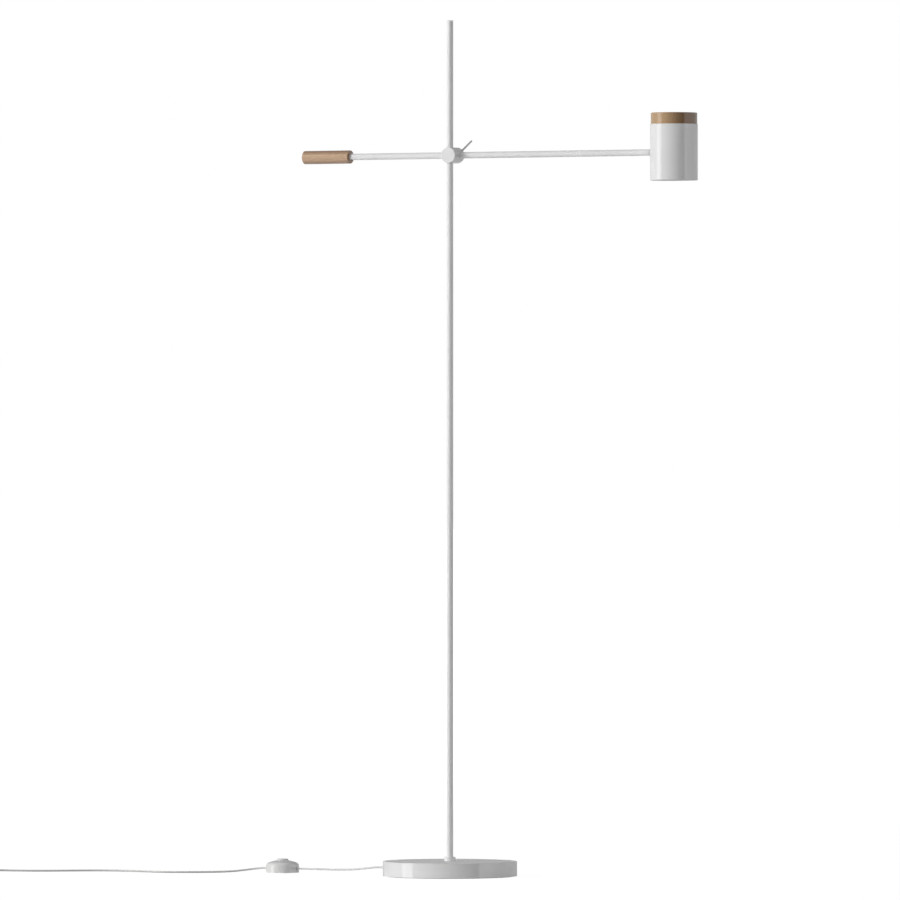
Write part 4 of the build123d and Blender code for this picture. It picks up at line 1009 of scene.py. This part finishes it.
# %% Moulded plastic and rubber
SKIN_DRIFT_SCALE = 25.0
SKIN_DRIFT_TONE = 0.92
SKIN_GLOSS_LOW = 0.85
SKIN_GLOSS_SWING = 0.3
# Painted shade near the floor: full at the floor, gone at this height, with this tint.
FLOOR_SHADE_TOP = 0.0032
FLOOR_SHADE_TINT = (0.5, 0.5, 0.49, 1)


def moulded(name, shade, roughness, scale, depth, shaded_below=False):
    """Moulded skin of an even colour with a fine texture, with painted shade near the floor if asked."""
    finish, tree, shader = new_finish(name)
    place = object_place(tree)
    texture = noise(tree, place, scale)
    drift = noise(tree, place, SKIN_DRIFT_SCALE)
    skin = blend_colours(tree, drift, shade, toned(shade, SKIN_DRIFT_TONE))
    # Painted shade: greyer towards the floor, under the piece.
    if shaded_below:
        floor_shade = ramp(tree, height_of(tree, place), FLOOR_SHADE_TOP, 0.0)
        skin = blend_colours(tree, floor_shade, skin, stain(tree, skin, FLOOR_SHADE_TINT))
    feed(
        tree,
        shader,
        Base_Color=skin,
        Roughness=(texture * SKIN_GLOSS_SWING + SKIN_GLOSS_LOW) * roughness,
        Normal=bump(tree, texture, depth),
    )
    return finish


plastic = moulded("plastic_white", colour(233, 233, 232), roughness=0.08, scale=700.0, depth=0.000001)
sheath = moulded("sheath_white", colour(230, 230, 229), 0.35, scale=700.0, depth=0.000004, shaded_below=True)
rubber = moulded("rubber_black", colour(44, 44, 45), roughness=0.75, scale=900.0, depth=0.00006)
nylon = moulded("nylon_natural", colour(214, 211, 198), roughness=0.45, scale=700.0, depth=0.000005)
opal = moulded("opal_sheet", colour(240, 240, 236), roughness=0.35, scale=900.0, depth=0.000004)
board = moulded("board_green", colour(46, 92, 62), roughness=0.45, scale=500.0, depth=0.00003)
print("moulded:", [finish.name for finish in (plastic, sheath, rubber, nylon, opal, board)])

# %% Metal
MARK_TONE = 0.86
MARK_ROUGHNESS = 0.18
MARK_DEPTH = 0.00001


def bare_metal(name, shade, roughness, lay):
    """Metal with fine marks, drawn out on the axes where lay is small."""
    finish, tree, shader = new_finish(name)
    marks = streaks(tree, object_place(tree), lay)
    feed(
        tree,
        shader,
        Base_Color=blend_colours(tree, marks, shade, toned(shade, MARK_TONE)),
        Metallic=1.0,
        Roughness=marks * MARK_ROUGHNESS + (roughness - MARK_ROUGHNESS / 2),
        Normal=bump(tree, marks, MARK_DEPTH),
    )
    return finish


steel = bare_metal("steel_turned", colour(178, 178, 180), roughness=0.32, lay=(1500.0, 1500.0, 60.0))
aluminium = bare_metal("aluminium_bare", colour(206, 207, 209), roughness=0.34, lay=(40.0, 1200.0, 1200.0))
iron = bare_metal("iron_cast", colour(70, 70, 72), roughness=0.6, lay=(500.0, 500.0, 500.0))
print("metals:", [finish.name for finish in (steel, aluminium, iron)])

# %% [markdown]
# The pins of the adapter are nickel at their tips, and near the lid they wear a sleeve of plastic. One
# finish does both: the distance along the plug switches colour, gloss and metal at the sleeve's end.

# %% Pins with insulating sleeves
PIN_FACE_REACH = 0.076
PIN_SLEEVE_L = 0.0095
PIN_FADE = 0.0001
SLEEVE_ROUGHNESS = 0.35
PIN_SHINE = 0.2
SCRATCH_SIDES = (900.0, 900.0, 2500.0)
SCRATCH_ROUGHNESS = 0.1
SCRATCH_DEPTH = 0.000004


def sleeved_pins(name, metal, sleeve):
    """Bright metal with a sleeve of plastic on the half near the lid."""
    finish, tree, shader = new_finish(name)
    place = object_place(tree)
    sleeve_end = adapter_tip.dot(plug_heading) + PIN_FACE_REACH + PIN_SLEEVE_L
    bare = ramp(tree, along_axis(tree, place, plug_heading), sleeve_end, sleeve_end + PIN_FADE)
    scratches = streaks(tree, place, SCRATCH_SIDES)
    feed(
        tree,
        shader,
        Base_Color=blend_colours(tree, bare, sleeve, metal),
        Metallic=bare,
        Roughness=SLEEVE_ROUGHNESS - bare * PIN_SHINE + scratches * SCRATCH_ROUGHNESS,
        Normal=bump(tree, scratches, SCRATCH_DEPTH),
    )
    return finish


pin_finish = sleeved_pins("pins_sleeved", metal=colour(214, 212, 206), sleeve=colour(226, 226, 225))
print("pins dressed as", pin_finish.name)

# %% [markdown]
# ## Finishes on the solids
# Each solid takes its finish by its material slot in the record, and a few pieces have one of their own.

# %% Give every solid its finish
finish_of_slot = {
    "white_steel": paint,
    "white_shade": paint,
    "steel": steel,
    "ballast_iron": iron,
    "bare_aluminium": aluminium,
    "pad_rubber": rubber,
    "white_plastic": plastic,
    "white_cord": sheath,
    "nylon": nylon,
    "opal": opal,
    "board_green": board,
}
finish_of_node = {
    "counterweight_sleeve": grip_wood,
    "counterweight_plug": grip_wood,
    "wood_cap": cap_wood,
    "pivot_neck": neck_paint_shaded,
    "lever_rod": lever_paint_shaded,
    "base_cover": base_paint,
    "plug_pins": pin_finish,
}


def dress(piece, finish):
    """Give a piece one finish all over."""
    piece.data.materials.clear()
    piece.data.materials.append(finish)


for name, slot in slot_of.items():
    dress(nodes[name], finish_of_node.get(name) or finish_of_slot[slot])
dress(cord, sheath)
for piece in (base_sleeve, adapter_sleeve, shell, band):
    dress(piece, plastic)
dress(spring, steel)
print("finishes given to", len(nodes), "solids")
